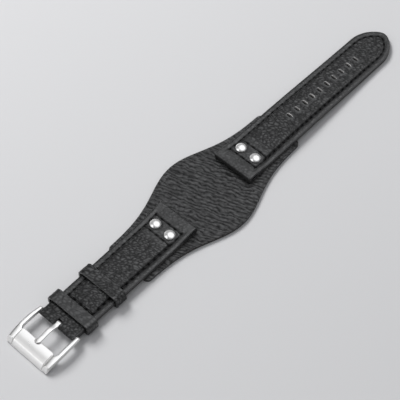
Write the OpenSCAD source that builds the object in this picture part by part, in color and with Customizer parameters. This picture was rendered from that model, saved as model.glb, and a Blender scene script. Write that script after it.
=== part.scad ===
// Cuff watch strap: a leather pad with wings, two padded strap halves riveted on top, and a tang buckle

/* [Pad] */
// Length of the pad from wing end to wing end
pad_len = 103.8; // [98:0.2:110]
// Width of the round middle of the pad
pad_w = 45.6; // [36:0.2:52]
// Width of the wings under the strap halves
wing_w = 25.2; // [24:0.2:28]
// How far the round middle runs out along the wings
pad_flare = 23; // [18:0.5:28]
// Corner radius of the wing ends
wing_corner_r = 2.5; // [1:0.25:5]
// Thickness of the pad's top leather
pad_upper_t = 0.9; // [0.7:0.05:1.4]
// Thickness of the pad's lining
pad_lining_t = 0.7; // [0.6:0.05:1.2]

/* [Strap halves] */
// Width of the halves at the lug ends
lug_w = 22; // [21:0.5:23.5]
// Width of the halves at the buckle and the tip
end_w = 20.4; // [19:0.2:21]
// Gap between the two lug ends
lug_gap = 35.6; // [30:0.2:42]
// Length of the half with the holes
tip_half_len = 113.6; // [106:0.2:125]
// Length of the half with the buckle
buckle_half_len = 77.7; // [75:0.1:88]
// Thickness of the folded lug ends
lug_t = 4.3; // [4:0.1:5.2]
// Thickness over the padding
crown_t = 3.7; // [3.4:0.1:5]
// Thickness over the padding at the hole nearest the tip
tip_crown_t = 3.2; // [2.8:0.1:4.4]
// Thickness of the sewn border
border_t = 2.3; // [2:0.1:2.8]
// Width of the sewn border, outside the stitches
border_w = 2.9; // [2:0.1:4]
// Thickness of the top leather
upper_t = 1.2; // [0.8:0.1:1.5]
// Thickness of the lining
lining_t = 1; // [0.6:0.1:1.2]
// Radius of the two long sides of the tip
tip_side_r = 16; // [13:0.5:24]
// Radius of the nose of the tip
tip_nose_r = 5; // [3.5:0.25:7]

/* [Folds] */
// How square the ends of the lug folds are: 2 is round
lug_square = 3; // [2:0.5:4]
// Radius of the tunnels for the watch's spring bars
lug_tunnel_r = 1.05; // [0.9:0.05:1.3]
// Length of the leather turned back at the lug ends
lug_fold_len = 8; // [6.5:0.25:9]
// Thickness of the fold round the buckle's spring bar
buckle_fold_t = 3.5; // [3.2:0.1:3.9]
// Length of the leather turned back at the buckle
buckle_fold_len = 13.5; // [12:0.25:16]
// Width of the slot for the tang
tang_slot_w = 2.9; // [2.7:0.1:3.6]
// Depth of the slot for the tang
tang_slot_depth = 3.7; // [3.6:0.1:4.6]

/* [Holes] */
// Number of holes
hole_count = 10; // [5:1:10]
// Distance from hole to hole
hole_pitch = 5.5; // [4.5:0.1:6]
// Distance from the tip to its nearest hole
hole_inset = 23.4; // [20:0.2:28]
// Length of a hole, across the strap
hole_len = 3; // [2.6:0.1:3.6]
// Width of a hole, along the strap
hole_w = 1.4; // [1.2:0.1:2]

/* [Rivets] */
// Radius of a rivet's head
rivet_r = 2.6; // [2:0.1:3]
// Height of a rivet's head
rivet_h = 1.15; // [0.8:0.05:1.6]
// Radius of a rivet's post
post_r = 0.85; // [0.6:0.05:1]
// Distance between the two rivets of a half
rivet_spacing = 8.75; // [7:0.25:11]
// Distance from a lug end to its rivets
rivet_inset = 11.1; // [10.8:0.1:14]
// Radius of a rivet's back cap
rivet_cap_r = 2.3; // [1.8:0.1:2.8]

/* [Keepers] */
// Width of a keeper, along the strap
keeper_w = 6.2; // [5:0.1:7]
// Thickness of a keeper's leather
keeper_t = 1.1; // [0.8:0.05:1.25]
// Room between the strap and the free keeper
keeper_play = 0.25; // [0.2:0.05:0.3]
// Room at each side inside the fixed keeper
fixed_keeper_side_play = 1.2; // [0.5:0.1:1.6]
// Distance from the buckle end of the leather to the middle of the fixed keeper
fixed_keeper_inset = 10.3; // [8.8:0.1:11]
// Distance from the buckle end of the leather to the middle of the free keeper
free_keeper_inset = 28.4; // [24:0.2:30]

/* [Buckle] */
// Room between each side of the leather and the buckle's arms
arm_play = 0.2; // [0.15:0.05:0.4]
// Length from the spring bar to the front of the buckle
buckle_len = 19.9; // [18:0.1:24]
// Thickness of the buckle's frame
buckle_t = 2.6; // [2.4:0.1:3]
// Greatest width of a buckle arm, half way along
arm_w = 2.5; // [2.3:0.1:3.2]
// How much further the arms stand out half way along than at their ends
arm_bulge = 0.6; // [0:0.1:0.8]
// How much the frame is bent upwards half way along, seen from the side
frame_bend = 1.2; // [0:0.1:1.6]
// Width of the buckle's plate between its grooves
plate_w = 18.4; // [16:0.2:19]
// Depth of the buckle's plate from front to back
plate_depth = 8.6; // [7:0.1:9.5]
// Rise of the plate's domed top
plate_dome = 0.3; // [0.1:0.05:0.5]
// Length of the plate's sloping front
plate_bevel = 2; // [1:0.1:3]
// Width of the tang
tang_w = 2.3; // [1.8:0.1:2.4]
// Thickness of the tang
tang_t = 1.15; // [0.9:0.05:1.3]

/* [Spring bar] */
// Radius of the spring bar's barrel
bar_r = 0.75; // [0.7:0.05:0.9]
// Wall of the spring bar's barrel
bar_wall = 0.15; // [0.12:0.01:0.2]
// Radius of the spring bar's tips
bar_tip_r = 0.42; // [0.35:0.01:0.45]
// How far a tip reaches into the buckle's arm
bar_tip_grip = 1.15; // [0.8:0.05:1.3]
// Thickness of the spring's wire
spring_wire = 0.2; // [0.15:0.01:0.22]
// Turns of the spring
spring_turns = 14; // [10:1:16]

/* [Fits] */
// Clearance all round a shaft that turns or slides
running_gap = 0.05; // [0.03:0.01:0.08]
// Gap between layers that lie on each other
layer_gap = 0.05; // [0.03:0.01:0.08]

/* [Hidden] */
$fn = 64;
leather = "#2e2e30";
lining_leather = "#3a3634";
padding_felt = "#55504a";
steel = "#c9cacc";
tiny = 0.01;

// Places along the strap are measured from the middle of the pad; the buckle half is mirrored
pad_t = pad_upper_t + pad_lining_t;
lug_s = lug_gap / 2;
lug_r = lug_t / 2;
wing_s = pad_len / 2;
tip_s = lug_s + tip_half_len;
nose_s = tip_s - tip_nose_r;
side_drop = tip_side_r - end_w / 2;
tip_side_s = nose_s - sqrt(pow(tip_side_r - tip_nose_r, 2) - side_drop * side_drop);
tip_turn = (nose_s - tip_side_s) / (tip_side_r - tip_nose_r);
leather_end_s = lug_s + buckle_half_len;
fold_r = buckle_fold_t / 2;
bar_s = leather_end_s - fold_r;
bar_z = pad_t + fold_r;
block_s = leather_end_s - buckle_fold_len;
padding_start_s = lug_s + lug_fold_len + layer_gap;
padding_margin = 1.6;
buckle_padding_end_s = block_s - padding_margin;
tip_margin = 4;
tip_padding_end_s = tip_s - border_w - tip_margin;
rivet_s = lug_s + rivet_inset;
// The middle goes over from the fold to the padding along this length, and the sewn border along this one
rise_len = 7;
border_fall_len = 13;
// The padding falls over these lengths at its far end
fall_len = 7;
tip_fall_len = 20;
fold_rise_len = 4;
edge_round = 0.5;
// How much lower the sides of the lug ends are than their middle
lug_edge_drop = 0.15;
// The top leather falls by this much outside the stitches
border_bevel = 0.1;
rivet_sink = 0.3;
cap_t = 0.35;
cap_depth = 0.45;
cap_tube_r = post_r + 0.3;
cap_tube_h = pad_t + 0.7;
// Room above the leather inside the fixed keeper, where the tip half passes pressed flat
fixed_keeper_top_play = 0.4;

// Half width of each half at a place along it, taken in by an inset from the outline
function smooth(t) = let (c = min(max(t, 0), 1)) c * c * (3 - 2 * c);
function mix(a, b, t) = a + (b - a) * t;
function taper(s, end_s) = mix(lug_w, end_w, (s - lug_s) / (end_s - lug_s)) / 2;
function tip_side(s, inset = 0) =
    let (turn_s = nose_s + (tip_nose_r - inset) * tip_turn, nose = tip_nose_r - inset)
    s <= tip_side_s ? taper(s, tip_side_s) - inset
    : s <= turn_s ? sqrt(pow(tip_side_r - inset, 2) - pow(s - tip_side_s, 2)) - side_drop
    : s < nose_s + nose ? sqrt(nose * nose - pow(s - nose_s, 2)) : 0;
function buckle_side(s, inset = 0) = taper(s, leather_end_s) - inset;

// Underside of each half: level on the wing, and the tip half sinks to the table beyond it
function tip_base(s) = pad_t * (1 - smooth((s - wing_s) / (tip_side_s - wing_s)));

// Thickness over the middle, and at the stitch line, of each half
function lug_middle(s) = mix(lug_t, crown_t, smooth((s - lug_s - lug_t) / rise_len));
function lug_border(s) = mix(lug_t - lug_edge_drop, border_t, smooth((s - lug_s) / border_fall_len));
function tip_crown(s) = mix(lug_middle(s), tip_crown_t,
    smooth((s - wing_s) / (tip_s - hole_inset - wing_s)));
function tip_fade(s) = smooth((tip_padding_end_s - s) / tip_fall_len);
function tip_middle(s) = mix(border_t, tip_crown(s), tip_fade(s));
function folded(s) = smooth((s - buckle_padding_end_s) / fold_rise_len);
function buckle_middle(s) = mix(mix(border_t + 0.1, lug_middle(s), smooth((buckle_padding_end_s - s) / fall_len)),
    buckle_fold_t, folded(s));
function buckle_border(s) = mix(lug_border(s), buckle_fold_t - 0.1, folded(s));

// Share of the full thickness where an end is rolled over a radius, round or squarer
function rolled(to_axis, r, square = 2) = to_axis <= 0 ? 1
    : pow(max(1 - pow(to_axis / r, square), 0.02), 1 / square);
function lug_rolled(s) = rolled(lug_s + lug_r - s, lug_r, lug_square);

// Columns across a half, as signed places, with a pair on each side of the stitch line
step_w = 0.05;
function columns(side, inner) = let (i = max(inner, 0.35 * side),
    right = [side, side - min(edge_round, 0.3 * side), i + step_w, i, 0.8 * i, 0.45 * i])
    concat([for (y = right) -y], [0], [for (k = [5 : -1 : 0]) right[k]]);

// Thickness of a half at a place and a column: a dome between the stitch lines, a bevelled border outside
function dome(u) = pow(1 - pow(min(u, 1), 4), 0.85);
function thickness(y, side, inner, middle, border, bevel) =
    let (i = max(inner, 0.35 * side), a = abs(y), out = (a - i - step_w) / (side - i - step_w))
    a <= i + step_w ? border + (middle - border) * dome(a / i)
    : border - bevel * out - (a > side - tiny ? edge_round * 0.6 : 0);

function tip_top(s, y) = let (full = thickness(y, tip_side(s), tip_side(s, border_w), tip_middle(s),
        lug_border(s), border_bevel))
    tip_base(s) + lug_r + (full - lug_r) * lug_rolled(s);
function buckle_top(s, y) = let (full = thickness(y, buckle_side(s), buckle_side(s, border_w),
        buckle_middle(s), buckle_border(s), mix(border_bevel, 0.4, folded(s))),
    half_t = s < bar_s ? lug_r : fold_r,
    share = lug_rolled(s) * rolled(s - bar_s, fold_r))
    pad_t + half_t + (full - half_t) * share;

// A sheet between two surfaces: places along it, columns at each place, and the surfaces' heights
module sheet(places, cols, top, bottom) {
    rows = len(places);
    n = len(cols(places[0]));
    points = concat(
        [for (s = places) for (y = cols(s)) [s, y, top(s, y)]],
        [for (s = places) for (y = cols(s)) [s, y, bottom(s, y)]]);
    under = rows * n;
    at = function(r, c) r * n + c;
    faces = concat(
        [for (r = [0 : rows - 2]) for (c = [0 : n - 2])
            each [[at(r, c), at(r, c + 1), at(r + 1, c + 1)], [at(r, c), at(r + 1, c + 1), at(r + 1, c)]]],
        [for (r = [0 : rows - 2]) for (c = [0 : n - 2])
            each [[under + at(r, c), under + at(r + 1, c + 1), under + at(r, c + 1)],
                [under + at(r, c), under + at(r + 1, c), under + at(r + 1, c + 1)]]],
        [for (r = [0 : rows - 2]) for (c = [0, n - 1]) let (a = at(r, c), b = at(r + 1, c))
            each c == 0 ? [[a, b, under + b], [a, under + b, under + a]]
                : [[b, a, under + a], [b, under + a, under + b]]],
        [for (c = [0 : n - 2]) for (r = [0, rows - 1]) let (a = at(r, c), b = at(r, c + 1))
            each r == 0 ? [[b, a, under + a], [b, under + a, under + b]]
                : [[a, b, under + b], [a, under + b, under + a]]]);
    polyhedron(points, faces);
}

// Places along each half where the sheets have a row of points
lug_places = concat([for (a = [80 : -20 : 20]) lug_s + lug_r * (1 - sin(a))],
    [lug_s + lug_r, (lug_s + lug_r + padding_start_s) / 2]);
tip_padding_places = concat([for (k = [0 : 4]) padding_start_s + (rivet_s + rise_len + 1 - padding_start_s) * k / 4],
    [for (k = [1, 2]) mix(rivet_s + rise_len + 1, wing_s, k / 2)],
    [for (k = [1 : 8]) mix(wing_s, tip_side_s, k / 8)],
    [mix(tip_side_s, tip_padding_end_s, 0.5), tip_padding_end_s]);
tip_nose_places = [tip_padding_end_s + 2, for (a = [40 : 15 : 70]) nose_s + tip_nose_r * sin(a),
    tip_s - 0.08];
buckle_padding_places = concat(
    [for (k = [0 : 4]) padding_start_s + (rivet_s + rise_len + 1 - padding_start_s) * k / 4],
    [for (k = [1 : 4]) mix(rivet_s + rise_len + 1, buckle_padding_end_s - fall_len, k / 4)],
    [for (k = [1 : 4]) buckle_padding_end_s - fall_len * (1 - k / 4)]);
fold_places = concat([for (k = [1 : 3]) mix(block_s, block_s + fold_rise_len, k / 3)], [bar_s],
    [for (a = [20 : 20 : 80]) bar_s + fold_r * sin(a)]);

// Height of the padding above the lining
function tip_padding_h(s, y) = max(tip_top(s, y) - tip_base(s) - upper_t - lining_t, 0.1);
function buckle_padding_h(s, y) = max(buckle_top(s, y) - pad_t - upper_t - lining_t, 0.1);

// Outlines of one side of the pad
function pad_half(x) = mix(wing_w, pad_w, exp(-pow(x / pad_flare, 2))) / 2;

module pad_outline() {
    count = 64;
    flat_s = wing_s - wing_corner_r;
    corner = [for (a = [0 : 10 : 90]) [flat_s + wing_corner_r * sin(a),
        pad_half(flat_s) - wing_corner_r * (1 - cos(a))]];
    upper = concat([for (k = [0 : count]) let (x = flat_s * (2 * k / count - 1)) [x, pad_half(x)]],
        [for (k = [1 : len(corner) - 1]) corner[k]]);
    left = [for (k = [len(corner) - 1 : -1 : 1]) [-corner[k][0], corner[k][1]]];
    ring = concat(left, upper);
    polygon(concat(ring, [for (k = [len(ring) - 1 : -1 : 0]) [ring[k][0], -ring[k][1]]]));
}

// The holes for the rivets of both halves, or one cylinder at each rivet of one half
module at_rivets() {
    for (side = [-1, 1]) translate([rivet_s, side * rivet_spacing / 2, 0]) children();
}

module at_all_rivets() {
    at_rivets() children();
    mirror([1, 0, 0]) at_rivets() children();
}

rivet_hole_r = cap_tube_r + layer_gap;
module rivet_hole() {
    translate([0, 0, -1]) cylinder(r = rivet_hole_r, h = pad_t + lug_t + 2);
}

module pad_upper() {
    color(leather) difference() {
        translate([0, 0, pad_lining_t]) linear_extrude(pad_upper_t) pad_outline();
        at_all_rivets() rivet_hole();
    }
}

module pad_lining() {
    color(lining_leather) difference() {
        linear_extrude(pad_lining_t) pad_outline();
        at_all_rivets() {
            rivet_hole();
            translate([0, 0, -1]) cylinder(r = rivet_cap_r + layer_gap, h = 1 + cap_depth + layer_gap);
        }
    }
}

// Seat of the rivet heads on the strap
seat_z = pad_t + min(lug_t, crown_t) - rivet_sink;
module rivet_seats() {
    at_rivets() {
        rivet_hole();
        translate([0, 0, seat_z]) cylinder(r = rivet_r + layer_gap, h = 2);
    }
}

module lug_tunnel() {
    translate([lug_s + lug_r, 0, pad_t + lug_r]) rotate([90, 0, 0])
        cylinder(r = lug_tunnel_r, h = lug_w + 2, center = true);
}

module holes() {
    reach = (hole_len - hole_w) / 2;
    for (k = [0 : hole_count - 1]) translate([tip_s - hole_inset - k * hole_pitch, 0, -1])
        linear_extrude(pad_t + crown_t + 2) {
            for (side = [-1, 1]) translate([0, side * reach]) circle(d = hole_w, $fn = 24);
            square([hole_w, 2 * reach], center = true);
        }
}

tip_columns = function(s) columns(tip_side(s), tip_side(s, border_w));
buckle_columns = function(s) columns(buckle_side(s), buckle_side(s, border_w));
// Columns of the padding, which ends just inside the stitch lines
function padding_columns(inner) = let (right = [inner - layer_gap, 0.8 * inner, 0.45 * inner])
    concat([for (y = right) -y], [0], [for (k = [2 : -1 : 0]) right[k]]);
function lining_columns(side) = [-side, 0, side];

module tip_half_upper() {
    inner = function(s) max(tip_side(s, border_w), 0.35 * tip_side(s));
    bottom = function(s, y) s < padding_start_s - layer_gap / 2
        ? tip_base(s) + lug_r * (1 - lug_rolled(s))
        : tip_base(s) + lining_t
            + (abs(y) < inner(s) + tiny && s < tip_padding_end_s + tiny ? tip_padding_h(s, y) + layer_gap : layer_gap);
    color(leather) difference() {
        sheet(concat(lug_places, [padding_start_s - layer_gap], tip_padding_places,
            [tip_padding_end_s + layer_gap], tip_nose_places),
            tip_columns, function(s, y) tip_top(s, y), bottom);
        lug_tunnel();
        rivet_seats();
        holes();
    }
}

module tip_half_padding() {
    color(padding_felt) difference() {
        sheet(tip_padding_places,
            function(s) padding_columns(max(tip_side(s, border_w), 0.35 * tip_side(s))),
            function(s, y) tip_base(s) + lining_t + tip_padding_h(s, y),
            function(s, y) tip_base(s) + lining_t);
        at_rivets() rivet_hole();
        holes();
    }
}

module tip_half_lining() {
    places = concat(tip_padding_places, [tip_padding_end_s + layer_gap], tip_nose_places);
    color(lining_leather) difference() {
        sheet(places, function(s) lining_columns(tip_side(s)),
            function(s, y) tip_base(s) + lining_t, function(s, y) tip_base(s));
        at_rivets() rivet_hole();
        holes();
    }
}

module bar_tunnel(length) {
    translate([bar_s, 0, bar_z]) rotate([90, 0, 0])
        cylinder(r = bar_r + running_gap, h = length, center = true);
}

module buckle_half_upper() {
    inner = function(s) buckle_side(s, border_w);
    bottom = function(s, y) s < padding_start_s - layer_gap / 2 || s > block_s - layer_gap / 2
        ? pad_t + lug_r * (1 - lug_rolled(s)) + fold_r * (1 - rolled(s - bar_s, fold_r))
        : pad_t + lining_t
            + (abs(y) < inner(s) + tiny && s < buckle_padding_end_s + tiny ? buckle_padding_h(s, y) : 0)
            + layer_gap;
    color(leather) mirror([1, 0, 0]) difference() {
        sheet(concat(lug_places, [padding_start_s - layer_gap], buckle_padding_places,
            [buckle_padding_end_s + layer_gap, block_s - layer_gap, block_s], fold_places),
            buckle_columns, function(s, y) buckle_top(s, y), bottom);
        lug_tunnel();
        rivet_seats();
        bar_tunnel(lug_w);
        translate([leather_end_s - tang_slot_depth, -tang_slot_w / 2, 0])
            cube([tang_slot_depth + 1, tang_slot_w, bar_z + lug_t]);
    }
}

module buckle_half_padding() {
    color(padding_felt) mirror([1, 0, 0]) difference() {
        sheet(buckle_padding_places, function(s) padding_columns(buckle_side(s, border_w)),
            function(s, y) pad_t + lining_t + buckle_padding_h(s, y), function(s, y) pad_t + lining_t);
        at_rivets() rivet_hole();
    }
}

module buckle_half_lining() {
    length = block_s - layer_gap - padding_start_s;
    color(lining_leather) mirror([1, 0, 0]) difference() {
        translate([0, 0, pad_t]) linear_extrude(lining_t) polygon([
            for (side = [1, -1]) for (k = side > 0 ? [0, 1] : [1, 0])
                let (s = padding_start_s + length * k) [s, side * buckle_side(s)]]);
        at_rivets() rivet_hole();
    }
}

// A domed head with a rim, on a post that goes down into the cap's tube
module rivet() {
    rim = 0.2;
    dome_r = (rivet_r * rivet_r + rivet_h * rivet_h) / (2 * rivet_h);
    translate([0, 0, seat_z]) rotate_extrude($fn = 48) intersection() {
        translate([0, rivet_h + rim - dome_r]) circle(dome_r, $fn = 96);
        square([rivet_r, rivet_h + rim]);
    }
    translate([0, 0, cap_depth + layer_gap]) cylinder(r = post_r, h = seat_z + 0.2 - cap_depth, $fn = 32);
}

module rivet_cap() {
    translate([0, 0, cap_depth - cap_t]) difference() {
        union() {
            cylinder(r = rivet_cap_r, h = cap_t);
            cylinder(r = cap_tube_r, h = cap_tube_h, $fn = 32);
        }
        translate([0, 0, cap_t]) cylinder(r = post_r + layer_gap, h = cap_tube_h, $fn = 32);
    }
}

module tip_half_rivets() { color(steel) at_rivets() rivet(); }
module tip_half_rivet_caps() { color(steel) at_rivets() rivet_cap(); }
module buckle_half_rivets() { color(steel) mirror([1, 0, 0]) at_rivets() rivet(); }
module buckle_half_rivet_caps() { color(steel) mirror([1, 0, 0]) at_rivets() rivet_cap(); }

// Cross-section of a keeper's inside or outside, with its own radii above and below
module loop_outline(half_w, low, high, top_r, bottom_r) {
    for (side = [-1, 1]) {
        translate([side * (half_w - top_r), high - top_r]) circle(top_r);
        translate([side * (half_w - bottom_r), low + bottom_r]) circle(bottom_r);
    }
    translate([-half_w + top_r, low]) square([2 * (half_w - top_r), high - low]);
    translate([-half_w + bottom_r, low]) square([2 * (half_w - bottom_r), high - low - top_r]);
    translate([-half_w, low + bottom_r]) square([2 * half_w, high - low - top_r - bottom_r]);
}

module keeper(middle_s, half_w, low, high) {
    corner_r = 0.47 * (high - low);
    translate([-middle_s - keeper_w / 2, 0, 0]) rotate([90, 0, 90]) linear_extrude(keeper_w) difference() {
        loop_outline(half_w + keeper_t, low - keeper_t, high + keeper_t, corner_r + keeper_t, 0.4 + keeper_t);
        loop_outline(half_w, low, high, corner_r, 0.4);
    }
}

free_keeper_s = leather_end_s - free_keeper_inset;
fixed_keeper_s = leather_end_s - fixed_keeper_inset;
module free_keeper() {
    color(leather) keeper(free_keeper_s, buckle_side(wing_s) + keeper_play, pad_t - keeper_play,
        pad_t + crown_t + keeper_play);
}

module fixed_keeper() {
    color(leather) keeper(fixed_keeper_s, buckle_side(fixed_keeper_s) + fixed_keeper_side_play, pad_t,
        pad_t + buckle_fold_t + fixed_keeper_top_play);
}

// The buckle lies with its front on the table, so it is turned about the spring bar by this angle
buckle_in = end_w / 2 + arm_play;
buckle_out = buckle_in + arm_w;
front_low = buckle_t / 2;
reach_r = norm([buckle_len, front_low]);
buckle_tilt = asin(bar_z / reach_r) - atan2(front_low, buckle_len);
module on_bar() {
    translate([-bar_s, 0, bar_z]) rotate([0, -buckle_tilt, 0]) mirror([1, 0, 0]) children();
}

plate_back = buckle_len - plate_depth;
plate_corner = 1;
// How far the plate's front slopes down
front_drop = 1.9;
function arm_outer(u) = buckle_out - arm_bulge * pow(2 * u / buckle_len - 1, 2);
function arm_inner(u) = mix(buckle_in, plate_w / 2, smooth((u - plate_back + 0.5) / (2 * plate_corner)));
// Height of the frame's middle line, and its top, which has a sloping front
function frame_mid(u) = frame_bend * (1 - pow(2 * u / buckle_len - 1, 2));
function frame_top(u) = frame_mid(u) + buckle_t / 2
    - front_drop * smooth((u - buckle_len + plate_bevel) / (1.4 * plate_bevel));

// One arm, as a rounded section carried along from the spring bar to the front
module arm() {
    steps = [0, 0.1, 0.22, 0.36, 0.5, 0.6, 0.68, 0.76, 0.84, 0.9, 0.95, 0.985];
    sides = 12;
    points = [for (t = steps) let (u = t * buckle_len, mid = (arm_inner(u) + arm_outer(u)) / 2,
            half_w = (arm_outer(u) - arm_inner(u)) / 2, high = frame_top(u), low = frame_mid(u) - buckle_t / 2)
        for (k = [0 : sides - 1]) let (a = 360 * (k + 0.5) / sides, c = cos(a), w = sin(a))
            [u, mid + half_w * sign(c) * pow(abs(c), 0.6),
                (high + low) / 2 + (high - low) / 2 * sign(w) * pow(abs(w), 0.6)]];
    last = len(steps) - 1;
    faces = concat(
        [for (r = [0 : last - 1]) for (k = [0 : sides - 1]) let (a = r * sides + k, b = r * sides + (k + 1) % sides)
            each [[a, b + sides, b], [a, a + sides, b + sides]]],
        [for (k = [1 : sides - 2]) [0, k, k + 1]],
        [for (k = [1 : sides - 2]) [last * sides, last * sides + k + 1, last * sides + k]]);
    polyhedron(points, faces);
}

// Side view of the plate: rounded back edge, domed top and sloping front
module plate_profile() {
    low = -buckle_t / 2;
    high = buckle_t / 2;
    front_s = buckle_len - plate_bevel;
    dome_run = front_s - plate_back - 0.5;
    under_run = plate_depth - 0.6;
    level = concat([[plate_back, low + 0.3], [plate_back, high - 0.4]],
        [for (a = [0 : 30 : 60]) [plate_back + 0.5 * (1 - cos(a)), high - 0.4 + 0.4 * sin(a)]],
        [for (k = [0 : 8]) [plate_back + 0.5 + dome_run * k / 8, high + plate_dome * sin(22.5 * k)]],
        [for (a = [15 : 15 : 75]) [front_s + plate_bevel * sin(a), high - front_drop * (1 - cos(a))]],
        [[buckle_len, high - front_drop], [buckle_len, low + 0.3]],
        [for (k = [0 : 6]) [buckle_len - 0.3 - under_run * k / 6, low]]);
    polygon([for (p = level) [p[0], p[1] + frame_mid(p[0])]]);
}

// Seen from above, the plate's back edge steps back at both corners beside the arms
module plate_outline() {
    half_w = plate_w / 2 + 0.3;
    inner_w = plate_w / 2 - 1.2;
    polygon([[plate_back - 1, -inner_w], [plate_back, -inner_w], [plate_back + plate_corner, -half_w],
        [buckle_len + 1, -half_w], [buckle_len + 1, half_w], [plate_back + plate_corner, half_w],
        [plate_back, inner_w], [plate_back - 1, inner_w]]);
}

// Depth of the blind bores for the spring bar's tips
bar_bore = bar_tip_grip + 0.15;
notch_r = tang_w / 2 + 0.25;
tang_len = plate_back + 1.5;
notch_s = tang_len - tang_w / 2;
notch_floor = frame_mid(notch_s) + buckle_t / 2 - 0.85;

// Side view of what a groove takes away, down to its depth below the top of the frame
module groove_profile(depth) {
    start = plate_back + plate_corner;
    run = buckle_len - start;
    polygon(concat([for (k = [0 : 8]) let (u = start + run * k / 8) [u, frame_top(u) - depth]],
        [[buckle_len, 2 * buckle_t], [start, 2 * buckle_t]]));
}

module buckle_frame() {
    groove = 0.22;
    color(steel) on_bar() difference() {
        union() {
            for (side = [-1, 1]) {
                mirror([0, side < 0 ? 1 : 0, 0]) arm();
                translate([0, side * (buckle_in + (arm_outer(0) - buckle_in) / 2), 0]) rotate([90, 0, 0])
                    cylinder(d = buckle_t, h = arm_outer(0) - buckle_in, center = true);
            }
            intersection() {
                rotate([90, 0, 0]) linear_extrude(plate_w + 2, center = true) plate_profile();
                linear_extrude(3 * buckle_t, center = true) plate_outline();
            }
        }
        for (side = [-1, 1]) {
            // Blind bores for the spring bar's tips
            translate([0, side * (buckle_in + bar_bore / 2 - 0.5), 0]) rotate([90, 0, 0])
                cylinder(r = bar_tip_r + running_gap, h = bar_bore + 1, center = true);
            // Groove between the plate and the arm
            translate([0, side * plate_w / 2, 0]) rotate([90, 0, 0]) linear_extrude(groove, center = true)
                groove_profile(groove);
            translate([buckle_len - groove, side * plate_w / 2 - groove / 2, -buckle_t])
                cube([1, groove, 2 * buckle_t]);
        }
        // Notch for the tip of the tang
        translate([notch_s, 0, notch_floor]) cylinder(r = notch_r, h = 2 * buckle_t);
    }
}

// The tang: an eye rolled round the spring bar and a tongue that bends down to the notch
tang_eye_r = fold_r - 0.3;
tang_arch = 0.5;
module tongue_profile() {
    count = 10;
    start = tang_eye_r - tang_t / 2 - 0.1;
    end = notch_floor + layer_gap + tang_t / 2;
    middle = function(t) mix(start, end, t) + tang_arch * sin(180 * t);
    polygon(concat(
        [for (k = [0 : count]) let (t = k / count) [tang_len * t, middle(t) + tang_t / 2]],
        [for (k = [count : -1 : 0]) let (t = k / count) [tang_len * t, middle(t) - tang_t / 2]]));
}

module tang() {
    color(steel) on_bar() difference() {
        union() {
            rotate([90, 0, 0]) cylinder(r = tang_eye_r, h = tang_w, center = true);
            intersection() {
                rotate([90, 0, 0]) linear_extrude(tang_w, center = true) tongue_profile();
                union() {
                    translate([0, -tang_w, -tang_w]) cube([notch_s, 2 * tang_w, 3 * tang_w]);
                    translate([notch_s, 0, -tang_w]) cylinder(d = tang_w + tiny, h = 3 * tang_w);
                }
            }
        }
        rotate([90, 0, 0]) cylinder(r = bar_r + running_gap, h = 2 * tang_w, center = true);
    }
}

// The spring bar: a thin barrel with closed ends, two stepped tips and a coil spring between them
barrel_half = buckle_in - running_gap * 2;
end_wall = 0.4;
head_len = 2.4;
bore_r = bar_r - bar_wall;
head_end = barrel_half - end_wall - 0.02;
module along_bar() {
    translate([-bar_s, 0, bar_z]) rotate([-90, 0, 0]) children();
}

module spring_bar_barrel() {
    color(steel) along_bar() difference() {
        cylinder(r = bar_r, h = 2 * barrel_half, center = true);
        cylinder(r = bore_r, h = 2 * (barrel_half - end_wall), center = true);
        cylinder(r = bar_tip_r + running_gap, h = 2 * barrel_half + 1, center = true);
    }
}

module spring_bar_tip() {
    translate([0, 0, head_end - head_len]) cylinder(r = bore_r - running_gap, h = head_len);
    translate([0, 0, head_end - 0.1]) cylinder(r = bar_tip_r, h = buckle_in + bar_tip_grip - head_end + 0.1);
}

module spring_bar_tip_left() { color(steel) along_bar() spring_bar_tip(); }
module spring_bar_tip_right() { color(steel) along_bar() mirror([0, 0, 1]) spring_bar_tip(); }

module spring_bar_spring() {
    coil_r = bore_r - running_gap - spring_wire / 2 - 0.02;
    coil_len = 2 * (head_end - head_len) - 0.06 - spring_wire;
    rings = 8 * spring_turns;
    sides = 6;
    pitch = coil_len / spring_turns;
    lead = atan2(pitch, 2 * PI * coil_r);
    points = [for (r = [0 : rings]) let (a = 45 * r) for (k = [0 : sides - 1])
        let (b = 360 * k / sides, out = spring_wire / 2 * cos(b), up = spring_wire / 2 * sin(b))
        [(coil_r + out) * cos(a) + up * sin(lead) * sin(a),
            (coil_r + out) * sin(a) - up * sin(lead) * cos(a),
            -coil_len / 2 + coil_len * r / rings + up * cos(lead)]];
    faces = concat(
        [for (r = [0 : rings - 1]) for (k = [0 : sides - 1])
            let (a = r * sides + k, b = r * sides + (k + 1) % sides)
            each [[a, b + sides, b], [a, a + sides, b + sides]]],
        [for (k = [1 : sides - 2]) [0, k, k + 1]],
        [for (k = [1 : sides - 2]) [rings * sides, rings * sides + k + 1, rings * sides + k]]);
    echo(spring_gap = pitch * cos(lead) - spring_wire);
    color(steel) along_bar() polyhedron(points, faces);
}

pad_upper();
pad_lining();
tip_half_upper();
tip_half_padding();
tip_half_lining();
tip_half_rivets();
tip_half_rivet_caps();
buckle_half_upper();
buckle_half_padding();
buckle_half_lining();
buckle_half_rivets();
buckle_half_rivet_caps();
fixed_keeper();
free_keeper();
buckle_frame();
tang();
spring_bar_barrel();
spring_bar_tip_left();
spring_bar_tip_right();
spring_bar_spring();
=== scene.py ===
import math

import bmesh
import bpy
from mathutils import Matrix, Vector, noise


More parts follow.
